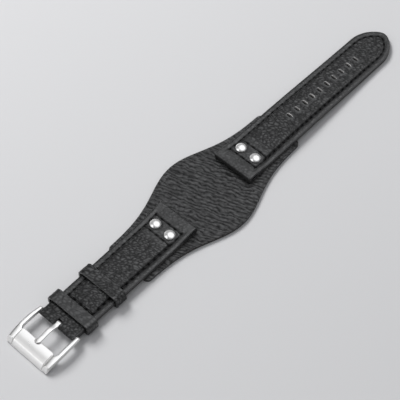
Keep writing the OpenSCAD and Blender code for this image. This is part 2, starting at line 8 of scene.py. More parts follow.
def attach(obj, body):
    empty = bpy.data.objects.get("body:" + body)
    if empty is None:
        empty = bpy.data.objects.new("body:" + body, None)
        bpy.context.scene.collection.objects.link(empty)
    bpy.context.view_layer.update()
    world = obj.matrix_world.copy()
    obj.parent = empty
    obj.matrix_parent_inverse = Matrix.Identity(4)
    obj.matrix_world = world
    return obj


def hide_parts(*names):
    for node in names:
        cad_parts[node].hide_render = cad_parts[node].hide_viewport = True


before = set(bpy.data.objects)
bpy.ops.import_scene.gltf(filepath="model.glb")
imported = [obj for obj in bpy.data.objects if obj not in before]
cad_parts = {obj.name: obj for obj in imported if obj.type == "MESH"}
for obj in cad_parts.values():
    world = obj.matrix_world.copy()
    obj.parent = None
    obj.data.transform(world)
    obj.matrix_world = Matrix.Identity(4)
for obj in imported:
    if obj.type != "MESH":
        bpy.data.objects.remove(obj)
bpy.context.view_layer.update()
mm = 0.001
# Blender's noise is seeded by the clock unless told otherwise, and the grain must be the same each run
noiseSeed = 5
noise.seed_set(noiseSeed)


# Sets several inputs of a shader's node
def setInputs(node, values):
    for name, value in values.items():
        node.inputs[name].default_value = value


# Camera, where the photograph was taken from
cameraSettings = {
    "target": (-3.3, 0.75, 0.0),
    "azimuth": -47.4,
    "elevation": 55.5,
    "distance": 650.0,
    "lens": 127.7,
}


def makeCamera(settings):
    azimuth = math.radians(settings["azimuth"])
    elevation = math.radians(settings["elevation"])
    back = Vector((math.sin(azimuth) * math.cos(elevation),
                   -math.cos(azimuth) * math.cos(elevation), math.sin(elevation)))
    data = bpy.data.cameras.new("camera")
    data.lens = settings["lens"]
    data.sensor_width = 36
    data.clip_start = 0.01
    data.clip_end = 20
    camera = bpy.data.objects.new("camera", data)
    camera.location = (Vector(settings["target"]) + back * settings["distance"]) * mm
    camera.rotation_mode = "QUATERNION"
    camera.rotation_quaternion = (-back).to_track_quat("-Z", "Y")
    bpy.context.scene.collection.objects.link(camera)
    bpy.context.scene.camera = camera


makeCamera(cameraSettings)
print("camera placed")


# Studio: pale floor, pale surroundings and soft lamps
studioSettings = {
    "floor": {"Base Color": (0.72, 0.72, 0.73, 1), "Roughness": 0.75, "Specular IOR Level": 0.2},
    "floorSize": 6.0,
    "floorDrop": 0.02,
    "skyColor": (0.97, 0.98, 1.0, 1),
    "skyBase": 0.1,
    "skyLobes": [
        # axis, cosine at its edge and where it is full, level
        ((0.30, -0.15, 0.942), (0.50, 0.97), 1.6),
        ((-0.88, 0.42, 0.22), (0.72, 0.96), 0.8),
    ],
    "skyLight": 0.34,
    "lamps": [
        # name, place, aimed at, width, depth, watts, seen in reflections
        ("keyLamp", (0.22, 1.0, 0.95), (0, 0, 0), 0.6, 0.6, 16.0, False),
        ("sideLamp", (-0.95, 0.5, 0.85), (-0.03, 0, 0), 0.8, 0.8, 1.6, True),
    ],
}


def makeStudio(settings):
    bm = bmesh.new()
    bmesh.ops.create_grid(bm, x_segments=1, y_segments=1, size=settings["floorSize"] / 2)
    bmesh.ops.translate(bm, vec=(0, 0, -settings["floorDrop"] * mm), verts=bm.verts)
    mesh = bpy.data.meshes.new("floor")
    bm.to_mesh(mesh)
    bm.free()
    floor = bpy.data.objects.new("floor", mesh)
    bpy.context.scene.collection.objects.link(floor)
    material = bpy.data.materials.new("paleFloor")
    material.use_nodes = True
    setInputs(material.node_tree.nodes["Principled BSDF"], settings["floor"])
    mesh.materials.append(material)

    world = bpy.data.worlds.new("studio")
    world.use_nodes = True
    nodes = world.node_tree.nodes
    links = world.node_tree.links
    background = nodes["Background"]
    path = nodes.new("ShaderNodeLightPath")
    direction = nodes.new("ShaderNodeTexCoord")
    total = nodes.new("ShaderNodeValue").outputs["Value"]
    total.default_value = settings["skyBase"]
    for axis, edge, strength in settings["skyLobes"]:
        towards = nodes.new("ShaderNodeVectorMath")
        towards.operation = "DOT_PRODUCT"
        towards.inputs[1].default_value = axis
        links.new(direction.outputs["Generated"], towards.inputs[0])
        lobe = nodes.new("ShaderNodeMapRange")
        lobe.interpolation_type = "SMOOTHSTEP"
        setInputs(lobe, {"From Min": edge[0], "From Max": edge[1], "To Max": strength})
        links.new(towards.outputs["Value"], lobe.inputs["Value"])
        joined = nodes.new("ShaderNodeMath")
        links.new(total, joined.inputs[0])
        links.new(lobe.outputs["Result"], joined.inputs[1])
        total = joined.outputs["Value"]
    level = nodes.new("ShaderNodeMapRange")
    level.inputs["To Min"].default_value = settings["skyLight"]
    links.new(path.outputs["Is Glossy Ray"], level.inputs["Value"])
    links.new(total, level.inputs["To Max"])
    shown = nodes.new("ShaderNodeMath")
    shown.operation = "MAXIMUM"
    links.new(level.outputs["Result"], shown.inputs[0])
    links.new(path.outputs["Is Camera Ray"], shown.inputs[1])
    links.new(shown.outputs["Value"], background.inputs["Strength"])
    background.inputs["Color"].default_value = settings["skyColor"]
    bpy.context.scene.world = world

    for name, place, aim, width, depth, watts, reflected in settings["lamps"]:
        data = bpy.data.lights.new(name, "AREA")
        data.shape = "RECTANGLE"
        data.size = width
        data.size_y = depth
        data.energy = watts
        lamp = bpy.data.objects.new(name, data)
        lamp.location = place
        lamp.visible_glossy = reflected
        lamp.rotation_mode = "QUATERNION"
        lamp.rotation_quaternion = (Vector(aim) - Vector(place)).to_track_quat("-Z", "Y")
        bpy.context.scene.collection.objects.link(lamp)
    bpy.context.scene.view_settings.view_transform = "Standard"


makeStudio(studioSettings)
print("studio ready")


# Small helpers for shapes and meshes; lengths are millimetres until finishPiece
def smooth(t):
    t = min(max(t, 0), 1)
    return t * t * (3 - 2 * t)


def mix(a, b, t):
    return a + (b - a) * t


def bell(x, width):
    return math.exp(-(x / width) ** 2)


def mappedGrid(rows, columns, pointAt):
    bm = bmesh.new()
    bmesh.ops.create_grid(bm, x_segments=rows, y_segments=columns, size=1)
    for v in bm.verts:
        v.co = pointAt(round((v.co.x + 1) / 2 * rows), round((v.co.y + 1) / 2 * columns))
    return bm


# A closed slab between two surfaces
def thickGrid(rows, columns, topAt, bottomAt):
    bm = bmesh.new()
    bmesh.ops.create_grid(bm, x_segments=rows, y_segments=columns, size=1)
    made = bmesh.ops.extrude_face_region(bm, geom=bm.faces[:])
    raised = {g for g in made["geom"] if isinstance(g, bmesh.types.BMVert)}
    for v in bm.verts:
        row = round((v.co.x + 1) / 2 * rows)
        column = round((v.co.y + 1) / 2 * columns)
        v.co = topAt(row, column) if v in raised else bottomAt(row, column)
    return closeUp(bm, 0.0005)


def closeUp(bm, distance):
    bmesh.ops.remove_doubles(bm, verts=bm.verts, dist=distance)
    bmesh.ops.recalc_face_normals(bm, faces=bm.faces)
    return bm


# A tube of rings with both its ends filled
def filledTube(rows, columns, pointAt):
    bm = closeUp(mappedGrid(rows, columns, pointAt), 0.001)
    bmesh.ops.holes_fill(bm, edges=bm.edges, sides=0)
    bmesh.ops.recalc_face_normals(bm, faces=bm.faces)
    return bm


# The solid that a flat outline sweeps along a straight shift
def prism(outline, shift):
    bm = bmesh.new()
    face = bm.faces.new([bm.verts.new(point) for point in outline])
    made = bmesh.ops.extrude_face_region(bm, geom=[face])
    raised = [x for x in made["geom"] if isinstance(x, bmesh.types.BMVert)]
    bmesh.ops.translate(bm, vec=shift, verts=raised)
    bmesh.ops.recalc_face_normals(bm, faces=bm.faces)
    return bm


def plainObject(name, bm):
    mesh = bpy.data.meshes.new(name)
    bm.to_mesh(mesh)
    bm.free()
    piece = bpy.data.objects.new(name, mesh)
    bpy.context.scene.collection.objects.link(piece)
    return piece


def applied(piece):
    bpy.context.view_layer.update()
    graph = bpy.context.evaluated_depsgraph_get()
    mesh = bpy.data.meshes.new_from_object(piece.evaluated_get(graph))
    piece.modifiers.clear()
    old = piece.data
    piece.data = mesh
    bpy.data.meshes.remove(old)


def combine(piece, tool, operation):
    step = piece.modifiers.new("combine", "BOOLEAN")
    step.operation = operation
    step.solver = "MANIFOLD"
    step.object = tool
    applied(piece)
    bpy.data.objects.remove(tool)


def cut(piece, tool):
    combine(piece, tool, "DIFFERENCE")


# Moves a mesh by a matrix that also mirrors it
def reflect(piece, matrix):
    piece.data.transform(matrix)
    piece.data.flip_normals()


mirrored = Matrix.Scale(-1, 4, (1, 0, 0))


# Turns the mesh into metres, gives it its material, hangs it on its body and hides the nodes that it stands
# for
def finishPiece(piece, body, material, nodes, sharpAngle):
    piece.data.transform(Matrix.Scale(mm, 4))
    piece.data.materials.clear()
    piece.data.materials.append(material)
    for face in piece.data.polygons:
        face.use_smooth = True
    piece.data.set_sharp_from_angle(angle=math.radians(sharpAngle))
    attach(piece, body)
    if nodes:
        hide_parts(*nodes)


def paint(piece, name, valueAt):
    layer = piece.data.attributes.get(name) or piece.data.attributes.new(name, "FLOAT", "POINT")
    layer.data.foreach_set("value", [valueAt(v.co) for v in piece.data.vertices])


# Materials
def newMaterial(name):
    material = bpy.data.materials.new(name)
    material.use_nodes = True
    nodes = material.node_tree.nodes
    return material, nodes, material.node_tree.links, nodes["Principled BSDF"]


def objectNoise(nodes, links, scale, detail, roughness=0.55, stretch=(1, 1, 1)):
    coordinates = nodes.new("ShaderNodeTexCoord")
    mapping = nodes.new("ShaderNodeMapping")
    mapping.inputs["Scale"].default_value = stretch
    texture = nodes.new("ShaderNodeTexNoise")
    setInputs(texture, {"Scale": scale, "Detail": detail, "Roughness": roughness})
    links.new(coordinates.outputs["Object"], mapping.inputs["Vector"])
    links.new(mapping.outputs["Vector"], texture.inputs["Vector"])
    return texture.outputs["Fac"]


def ramp(nodes, links, source, stops):
    node = nodes.new("ShaderNodeValToRGB")
    for element, (place, color) in zip(node.color_ramp.elements, stops):
        element.position = place
        element.color = color
    links.new(source, node.inputs["Fac"])
    return node.outputs["Color"]


def mapped(nodes, links, source, low, high, start=0.0, end=1.0):
    node = nodes.new("ShaderNodeMapRange")
    setInputs(node, {"From Min": start, "From Max": end, "To Min": low, "To Max": high})
    links.new(source, node.inputs["Value"])
    return node.outputs["Result"]


def bumped(nodes, links, source, depth, strength=1.0, under=None):
    node = nodes.new("ShaderNodeBump")
    setInputs(node, {"Strength": strength, "Distance": depth})
    links.new(source, node.inputs["Height"])
    if under:
        links.new(under, node.inputs["Normal"])
    return node.outputs["Normal"]


# Value of an attribute that was painted on the mesh
def painted(nodes, name):
    node = nodes.new("ShaderNodeAttribute")
    node.attribute_name = name
    return node.outputs["Fac"]


def grey(level, warmth=0.0):
    return (level * (1 + warmth), level, level * (1 - warmth), 1)


# Leather: painted shade in its creases and stitch grooves, darker and less shiny there; worn in random
# patches on its faces; a pale cut edge with a painted highlight on the far rim of each hole
leatherFinish = {
    # painted shade: the colour of the grain's creases and of the stitch grooves
    "crease": grey(0.003),
    "face": grey(0.010, -0.02),
    "worn": grey(0.019, -0.01),
    # pale cut edge with a painted highlight, put on the far rim of each hole only
    "cut": grey(0.85, 0.02),
    "roughCrease": 0.6,
    "roughFace": 0.30,
    # painted shade: less shine in creases and grooves
    "shadedCreaseShine": 0.2,
    "shineFace": 1.0,
    "blotchScale": 160.0,
    "poreScale": 2600.0,
    "poreDepth": 0.00004,
    "poreRough": 0.16,
    "hairScale": 700.0,
    "hairDepth": 0.00008,
    "bumpStrength": 0.9,
}


def makeLeather(name, finish):
    material, nodes, links, shader = newMaterial(name)
    grainCreaseShade = painted(nodes, "grainCreaseShade")
    blotch = objectNoise(nodes, links, finish["blotchScale"], 4)
    pores = objectNoise(nodes, links, finish["poreScale"], 3)
    hair = objectNoise(nodes, links, finish["hairScale"], 4, 0.6)
    # Painted shade: the colour falls to the crease colour where the painted mask is low, in creases and
    # stitch grooves
    creaseShadeBlend = nodes.new("ShaderNodeMix")
    creaseShadeBlend.data_type = "RGBA"
    creaseShadeBlend.inputs["A"].default_value = finish["crease"]
    links.new(grainCreaseShade, creaseShadeBlend.inputs["Factor"])
    links.new(ramp(nodes, links, blotch, [(0.3, finish["face"]), (0.75, finish["worn"])]), creaseShadeBlend.inputs["B"])
    # A pale cut edge with a painted highlight, where the painted cut mask is set
    edge = nodes.new("ShaderNodeMix")
    edge.data_type = "RGBA"
    edge.inputs["B"].default_value = finish["cut"]
    links.new(painted(nodes, "cut"), edge.inputs["Factor"])
    links.new(creaseShadeBlend.outputs["Result"], edge.inputs["A"])
    links.new(edge.outputs["Result"], shader.inputs["Base Color"])
    uneven = nodes.new("ShaderNodeMath")
    uneven.operation = "MULTIPLY_ADD"
    uneven.inputs[1].default_value = finish["poreRough"]
    links.new(pores, uneven.inputs[0])
    links.new(mapped(nodes, links, grainCreaseShade, finish["roughCrease"], finish["roughFace"]), uneven.inputs[2])
    links.new(uneven.outputs["Value"], shader.inputs["Roughness"])
    wide = bumped(nodes, links, hair, finish["hairDepth"], finish["bumpStrength"])
    fine = bumped(nodes, links, pores, finish["poreDepth"], finish["bumpStrength"], wide)
    links.new(fine, shader.inputs["Normal"])
    # Painted shade: the shine falls in the same creases and grooves
    shineWithCreaseShade = mapped(nodes, links, grainCreaseShade, finish["shadedCreaseShine"], finish["shineFace"])
    links.new(shineWithCreaseShade, shader.inputs["Specular IOR Level"])
    return material


liningFinish = {
    "dark": grey(0.022, 0.06),
    "light": grey(0.045, 0.08),
    "patchScale": 120.0,
    "surface": {"Roughness": 0.8, "Sheen Weight": 0.15, "Specular IOR Level": 0.3},
    "napScale": 1800.0,
    "napDepth": 0.00006,
    "napStrength": 0.8,
}


def makeLining(name, finish):
    material, nodes, links, shader = newMaterial(name)
    nap = objectNoise(nodes, links, finish["napScale"], 4, 0.65)
    patch = objectNoise(nodes, links, finish["patchScale"], 3)
    color = ramp(nodes, links, patch, [(0.3, finish["dark"]), (0.7, finish["light"])])
    links.new(color, shader.inputs["Base Color"])
    links.new(bumped(nodes, links, nap, finish["napDepth"], finish["napStrength"]), shader.inputs["Normal"])
    setInputs(shader, finish["surface"])
    return material


threadFinish = {
    "dark": grey(0.004),
    "light": grey(0.02),
    "rough": 0.7,
    "strandScale": 5200.0,
    "strandDepth": 0.00006,
}


def makeThread(name, finish):
    material, nodes, links, shader = newMaterial(name)
    strands = objectNoise(nodes, links, finish["strandScale"], 2, 0.5)
    color = ramp(nodes, links, strands, [(0.35, finish["dark"]), (0.7, finish["light"])])
    links.new(color, shader.inputs["Base Color"])
    links.new(bumped(nodes, links, strands, finish["strandDepth"]), shader.inputs["Normal"])
    shader.inputs["Roughness"].default_value = finish["rough"]
    return material


# Metals: spread is how much rougher the smudges are
steelFinish = {"color": (0.87, 0.862, 0.85, 1), "metal": 0.86, "rough": 0.27, "spread": 0.06}
chromeFinish = {"color": (0.95, 0.945, 0.94, 1), "metal": 0.62, "rough": 0.1, "spread": 0.08}
innerFinish = {"color": (0.55, 0.55, 0.56, 1), "metal": 1.0, "rough": 0.3, "spread": 0.15}
metalWear = {
    "smudgeScale": 260,
    "dulling": 0.94,
    "scratchScale": 2400,
    "scratchStretch": (1, 0.12, 1),
    "scratchDepth": 0.000008,
    "scratchStrength": 0.25,
}


def makeMetal(name, finish):
    wear = metalWear
    material, nodes, links, shader = newMaterial(name)
    shader.inputs["Metallic"].default_value = finish["metal"]
    smudge = objectNoise(nodes, links, wear["smudgeScale"], 5, 0.6)
    scratch = objectNoise(nodes, links, wear["scratchScale"], 2, 0.5, wear["scratchStretch"])
    duller = tuple(wear["dulling"] * c for c in finish["color"][:3]) + (1,)
    tint = ramp(nodes, links, smudge, [(0.25, duller), (0.7, finish["color"])])
    links.new(tint, shader.inputs["Base Color"])
    rough = mapped(nodes, links, smudge, finish["rough"], finish["rough"] + finish["spread"], 0.3, 0.75)
    links.new(rough, shader.inputs["Roughness"])
    scratched = bumped(nodes, links, scratch, wear["scratchDepth"], wear["scratchStrength"])
    links.new(scratched, shader.inputs["Normal"])
    return material


leather = makeLeather("pebbledLeather", leatherFinish)
lining = makeLining("liningLeather", liningFinish)
thread = makeThread("blackThread", threadFinish)
steel = makeMetal("polishedSteel", steelFinish)
chrome = makeMetal("rivetChrome", chromeFinish)
innerSteel = makeMetal("springSteel", innerFinish)
print("materials made")


# Leather grain: rounded cells between creases, as a height from 0 to 1
halfGrain = {"cell": 1.25, "stretch": 1.7, "along": -68.0, "warp": 0.45, "crease": 0.75, "seed": 3.0}
padGrain = {"cell": 1.9, "stretch": 2.9, "along": -71.0, "warp": 0.85, "crease": 0.55, "seed": 11.0}
keeperGrain = {"cell": 1.35, "stretch": 1.9, "along": 75.0, "warp": 0.7, "crease": 0.65, "seed": 23.0}


# A place counted in cells, along the grain and across it
def grainPlace(settings, x, y):
    turn = math.radians(settings["along"])
    along = (x * math.cos(turn) + y * math.sin(turn)) / (settings["cell"] * settings["stretch"])
    return along, (y * math.cos(turn) - x * math.sin(turn)) / settings["cell"]


def pebbleAt(settings, place):
    near, second = noise.voronoi(place)[0][:2]
    return 1 - (1 - min((second - near) / settings["crease"], 1)) ** 2


def grainAt(settings, x, y):
    along, across = grainPlace(settings, x, y)
    place = Vector((along, across, settings["seed"]))
    drift = noise.noise_vector(place * 0.45) * settings["warp"] + noise.noise_vector(place * 1.7) * 0.2
    return min(max(pebbleAt(settings, place + drift) + 0.22 * noise.noise(place * 3.1), 0), 1)


# The pad's grain is drawn out into long ripples that wander, split and join, broken up by finer cells
def wrinkleAt(settings, x, y):
    along, across = grainPlace(settings, x, y)
    place = Vector((along, across * 0.6, settings["seed"]))
    drift = noise.noise(place * 0.9) + 0.45 * noise.noise(place * 2.3 + Vector((7, 3, 1)))
    ripple = 0.5 + 0.5 * math.cos(2 * math.pi * (across + settings["warp"] * drift))
    cell = Vector((along * 1.6, across * 1.25, settings["seed"] + 5))
    pebble = pebbleAt(settings, cell + noise.noise_vector(cell * 1.4) * 0.35)
    return min(max(0.58 * ripple ** 0.6 + 0.42 * pebble + 0.1 * noise.noise(place * 6.1), 0), 1)


# The pad: a cuff, wide in the middle, with a wing under each half
padShape = {
    "halfLength": 51.9, "halfWidth": 22.8, "wing": 12.6, "flare": 23.0, "cornerRadius": 2.5,
    "upper": 0.9, "lining": 0.7, "edgeRadius": 0.3, "step": 0.29, "grainDepth": 0.3, "swell": 0.06,
}


# Half the pad's width at a place along it
def padHalf(x):
    p = padShape
    half = mix(p["wing"], p["halfWidth"], bell(x, p["flare"]))
    over = abs(x) - (p["halfLength"] - p["cornerRadius"])
    if over > 0:
        half -= p["cornerRadius"] - math.sqrt(max(p["cornerRadius"] ** 2 - over ** 2, 0))
    return half


# Even steps with finer ones at both ends
def spreadPlaces(length, step, edgeSteps):
    count = round((length - 2 * edgeSteps[-1]) / step)
    middle = [edgeSteps[-1] + (length - 2 * edgeSteps[-1]) * k / count for k in range(1, count)]
    return list(edgeSteps) + middle + [length - e for e in reversed(edgeSteps)]


# How far a rounded edge has dropped, at a distance from the rim
def rollOff(distance, radius):
    if distance >= radius:
        return 0
    return radius - math.sqrt(max(radius ** 2 - (radius - max(distance, 0)) ** 2, 0))


def makePad():
    p = padShape
    edgeSteps = [0, 0.04, 0.1, 0.2, 0.34]
    xs = spreadPlaces(2 * p["halfLength"], p["step"], edgeSteps + [0.6, 1.0, 1.5, 2.0, 2.5])
    ys = spreadPlaces(2 * p["halfWidth"], p["step"], edgeSteps)
    floorZ = p["lining"]

    def place(row, column):
        x = xs[row] - p["halfLength"]
        half = padHalf(x)
        share = ys[column] / p["halfWidth"] - 1
        inset = (1 - abs(share)) * p["halfWidth"]
        y = math.copysign(half - inset, share) if inset < 1 else share * half
        if 1 <= inset < 4:
            y = math.copysign(mix(half - inset, abs(share) * half, smooth((inset - 1) / 3)), share)
        return x, y, half

    def topAt(row, column):
        x, y, half = place(row, column)
        distance = min(half - abs(y), p["halfLength"] - abs(x))
        inside = smooth(distance / 0.8)
        grainCreaseShade = wrinkleAt(padGrain, x, y)
        swell = noise.noise(Vector((x * 0.16, y * 0.16, 5))) * p["swell"]
        z = floorZ + p["upper"] - (1 - grainCreaseShade) * p["grainDepth"] * inside + swell * inside
        return x, y, z - rollOff(distance, p["edgeRadius"])

    def bottomAt(row, column):
        x, y, half = place(row, column)
        return x, y, floorZ

    bm = thickGrid(len(xs) - 1, len(ys) - 1, topAt, bottomAt)
    under = [f for f in bm.faces if all(v.co.z < floorZ + 0.001 for v in f.verts)]
    bmesh.ops.dissolve_faces(bm, faces=under, use_verts=True)
    piece = plainObject("padLeather", bm)
    faceLow = floorZ + p["upper"] - 0.35
    # Painted shade: the pad's ripple troughs get the darker crease colour and less shine
    paint(piece, "grainCreaseShade", lambda co: 1 if co.z < faceLow else wrinkleAt(padGrain, co.x, co.y))
    finishPiece(piece, "strap", leather, ["pad_upper"], 60)


def padOutline():
    count = 90
    xs = [padShape["halfLength"] * math.sin(math.pi * (k / count - 0.5)) for k in range(count + 1)]
    return [(x, padHalf(x), 0) for x in xs] + [(x, -padHalf(x), 0) for x in reversed(xs)]


def block(name, low, high):
    bm = bmesh.new()
    bmesh.ops.create_cube(bm, size=1)
    bmesh.ops.scale(bm, vec=[b - a for a, b in zip(low, high)], verts=bm.verts)
    bmesh.ops.translate(bm, vec=[(a + b) / 2 for a, b in zip(low, high)], verts=bm.verts)
    return plainObject(name, bm)


# Round rods between pairs of points, as one object
def rods(name, ends, radius, segments=48):
    bm = bmesh.new()
    for start, end in ends:
        start, end = Vector(start), Vector(end)
        turn = (end - start).to_track_quat("Z", "Y").to_matrix().to_4x4()
        bmesh.ops.create_cone(bm, cap_ends=True, segments=segments, radius1=radius, radius2=radius,
                              depth=(end - start).length,
                              matrix=Matrix.Translation((start + end) / 2) @ turn)
    return plainObject(name, bm)


# Rivets: their heads are made further down, but the leather already makes room for them
rivetShape = {
    "place": 28.9, "spacing": 8.75, "radius": 2.6, "height": 1.15, "rim": 0.2, "seat": 5.0, "post": 0.85,
    "capRadius": 2.35, "capDepth": 0.5, "ring": 2.85, "ringWidth": 0.42, "ringDip": 0.26,
}


def rivetPlaces():
    r = rivetShape
    return [(sign * r["place"], side * r["spacing"] / 2) for sign in (1, -1) for side in (1, -1)]


def makePadLining():
    bm = prism(padOutline(), (0, 0, padShape["lining"] - 0.01))
    rims = [e for e in bm.edges if abs(e.verts[0].co.z - e.verts[1].co.z) < 1e-6]
    bmesh.ops.bevel(bm, geom=rims, offset=0.14, segments=2, profile=0.5, affect="EDGES", material=-1)
    piece = plainObject("padLining", bm)
    seats = [((x, y, -1), (x, y, rivetShape["capDepth"])) for x, y in rivetPlaces()]
    cut(piece, rods("seats", seats, rivetShape["capRadius"]))
    finishPiece(piece, "strap", lining, ["pad_lining"], 50)


makePad()
makePadLining()
print("pad made")


# The two padded halves: places run from the middle of the pad, and the buckle half is mirrored
strapShape = {
    # outline
    "lugPlace": 17.8, "lugWidth": 22.0, "endWidth": 20.4, "leatherEnd": 95.5, "tipPlace": 131.4,
    "noseRadius": 5.0, "sideRadius": 16.0,
    # heights, and the places where they change
    "padTop": 1.6, "lining": 1.0, "liningGap": 0.05, "lugHeight": 4.3, "crown": 3.7, "tipCrown": 3.2,
    "border": 2.3, "borderFall": 12.0, "foldHeight": 3.5, "foldBevel": 0.4, "foldPlace": 25.85,
    "wingPlace": 51.9, "blockPlace": 82.0, "paddingEnd": 80.4, "tipPaddingEnd": 124.5,
    # rounding and swells
    "lugRadius": 2.15, "lugSquare": 3, "lugDip": 0.4, "edgeRadius": 0.6, "bead": 0.26, "beadInset": 1.25,
    "beadWidth": 0.85, "rivetBandDip": 0.22, "ridge": 89.1, "ridgeHeight": 0.45, "ridgeHollow": 0.25,
    "ridgeWidth": 0.5, "rimHeight": 0.04, "rimSink": 0.1, "unevenness": 0.06,
    # seams
    "stitchInset": 3.0, "rivetRowNear": 25.0, "rivetRowFar": 32.9, "closingRow": 80.6, "grooveDepth": 0.45,
    "grooveWidth": 0.4, "pitch": 3.4, "crossPitch": 3.7,
    # cuts
    "slotWidth": 2.6, "slotOpen": 1.75, "slotRadius": 1.68, "tunnelRadius": 1.05, "tunnelLength": 2.0,
    "tunnelHeight": 0.52, "barTunnel": 0.8,
    # mesh
    "step": 0.28, "acrossStep": 0.29, "grainDepth": 0.28,
}
holeShape = {"first": 108.0, "count": 10, "gap": 5.5, "reach": 0.8, "radius": 0.7}
g = strapShape
noseCentre = g["tipPlace"] - g["noseRadius"]
sideDrop = g["sideRadius"] - g["endWidth"] / 2
tipTurnStart = noseCentre - math.sqrt((g["sideRadius"] - g["noseRadius"]) ** 2 - sideDrop ** 2)
tipTurn = (noseCentre - tipTurnStart) / (g["sideRadius"] - g["noseRadius"])
foldRadius = g["foldHeight"] / 2
barPlace = g["leatherEnd"] - foldRadius
barHeight = g["padTop"] + foldRadius
holePlaces = [holeShape["first"] - holeShape["gap"] * k for k in range(holeShape["count"])]


# Half the width, the distance to the edge and the height of the underside, for either half
def taper(s, end):
    return mix(g["lugWidth"], g["endWidth"], (s - g["lugPlace"]) / (end - g["lugPlace"])) / 2


def sideAt(s, isTip, inset=0.0):
    if not isTip:
        return taper(s, g["leatherEnd"]) - inset
    nose = g["noseRadius"] - inset
    if s <= tipTurnStart:
        return taper(s, tipTurnStart) - inset
    if s <= noseCentre + nose * tipTurn:
        return math.sqrt((g["sideRadius"] - inset) ** 2 - (s - tipTurnStart) ** 2) - sideDrop
    return math.sqrt(max(nose ** 2 - (s - noseCentre) ** 2, 0))


def edgeDistance(s, y, isTip):
    if not isTip or s <= tipTurnStart:
        return sideAt(s, isTip) - abs(y)
    dx = s - tipTurnStart
    dy = abs(y) + sideDrop
    if dx / math.hypot(dx, dy) <= tipTurn:
        return g["sideRadius"] - math.hypot(dx, dy)
    return g["noseRadius"] - math.hypot(s - noseCentre, y)


def baseAt(s, isTip):
    if not isTip:
        return g["padTop"]
    return g["padTop"] * (1 - smooth((s - g["wingPlace"]) / (tipTurnStart - g["wingPlace"])))


# Heights along the middle and along the sewn border
def lugMiddle(s):
    return mix(g["lugHeight"], g["crown"], smooth((s - g["lugPlace"] - g["lugHeight"]) / 7))


def folded(s):
    return smooth((s - g["paddingEnd"]) / 4)


def middleHeight(s, isTip):
    if isTip:
        along = smooth((s - g["wingPlace"]) / (holeShape["first"] - g["wingPlace"]))
        crown = mix(lugMiddle(s), g["tipCrown"], along)
        return mix(g["border"], crown, smooth((g["tipPaddingEnd"] - s) / 20))
    crown = mix(g["border"] + 0.1, lugMiddle(s), smooth((g["paddingEnd"] - s) / 6))
    return mix(crown, g["foldHeight"], folded(s))


def borderHeight(s, isTip):
    border = mix(g["lugHeight"] - 0.1, g["border"], smooth((s - g["lugPlace"] - 3) / g["borderFall"]))
    return border if isTip else mix(border, g["foldHeight"] - 0.1, folded(s))


def rolled(toAxis, radius, square=2):
    return 1 if toAxis <= 0 else max(1 - (toAxis / radius) ** square, 0) ** (1 / square)


def lugRolled(s):
    return rolled(g["lugPlace"] + g["lugRadius"] - s, g["lugRadius"], g["lugSquare"])


# Padded behind the first row of stitches, and only gently rounded at the lug end
def dome(s, y, side):
    padded = smooth((s - g["rivetRowNear"] + 6) / 7)
    inner = max(mix(side - 0.4, side - g["stitchInset"], padded), 0.35 * side, 0.05)
    return (1 - min(abs(y) / inner, 1) ** mix(2.4, 8, padded)) ** 0.9


def nearestHole(s):
    return min(holePlaces, key=lambda h: abs(h - s))


def holeDistance(s, y):
    return math.hypot(s - nearestHole(s), max(abs(y) - holeShape["reach"], 0)) - holeShape["radius"]


# Points spaced evenly along a line, each with the line's direction there
def walk(points, gap, phase):
    lengths = [0]
    for a, b in zip(points, points[1:]):
        lengths.append(lengths[-1] + math.hypot(b[0] - a[0], b[1] - a[1]))
    count = max(1, round(lengths[-1] / gap))
    found = []
    index = 0
    for k in range(count if phase else count + 1):
        target = (k + phase) * lengths[-1] / count
        while index < len(points) - 2 and lengths[index + 1] < target:
            index += 1
        a, b = points[index], points[index + 1]
        t = (target - lengths[index]) / (lengths[index + 1] - lengths[index])
        found.append((mix(a[0], b[0], t), mix(a[1], b[1], t), math.atan2(b[1] - a[1], b[0] - a[0])))
    return found


# Rows of stitches that run across a half
def crossRows(isTip):
    rows = [g["rivetRowNear"], g["rivetRowFar"]]
    return rows if isTip else rows + [g["closingRow"]]


# Every seam of a half, with its pitch
def seamLines(isTip):
    inset = g["stitchInset"]
    rows = crossRows(isTip)
    if isTip:
        places = [mix(rows[0], tipTurnStart, k / 200) for k in range(200)]
        places += [mix(tipTurnStart, noseCentre, k / 40) for k in range(40)]
        places += [mix(noseCentre, g["tipPlace"] - inset, math.sin(math.pi / 2 * k / 24)) for k in range(25)]
        right = [(s, sideAt(s, True, inset)) for s in places]
        lines = [(right + [(s, -y) for s, y in reversed(right)], g["pitch"])]
    else:
        ends = (rows[0], rows[-1])
        lines = [([(s, side * sideAt(s, False, inset)) for s in ends], g["pitch"]) for side in (1, -1)]
    for row in rows:
        reach = sideAt(row, isTip) - inset
        lines.append(([(row, -reach), (row, reach)], g["crossPitch"]))
    return lines


def seamPoints(isTip, phase):
    return [point for line, gap in seamLines(isTip) for point in walk(line, gap, phase)]


needleHoles = {isTip: [point[:2] for point in seamPoints(isTip, 0)] for isTip in (True, False)}


# How deep the thread is pulled in: deepest at the needle's holes
def pulledIn(s, y, isTip):
    nearest = min(math.hypot(s - a, y - c) for a, c in needleHoles[isTip])
    return 0.55 + 0.95 * bell(nearest, 0.85)


def grooveShare(s, y, side, distance, isTip):
    stitched = smooth((s - g["rivetRowNear"] + 1.2) / 0.8)
    if not isTip:
        stitched *= (1 - folded(s)) * smooth((g["closingRow"] + 0.8 - s) / 0.8)
    share = bell(distance - g["stitchInset"], g["grooveWidth"]) * stitched
    inside = smooth((side - g["stitchInset"] + 0.3 - abs(y)) / 0.5)
    for row in crossRows(isTip):
        share = max(share, bell(s - row, g["grooveWidth"]) * inside)
    return share * pulledIn(s, y, isTip) if share > 0.01 else 0


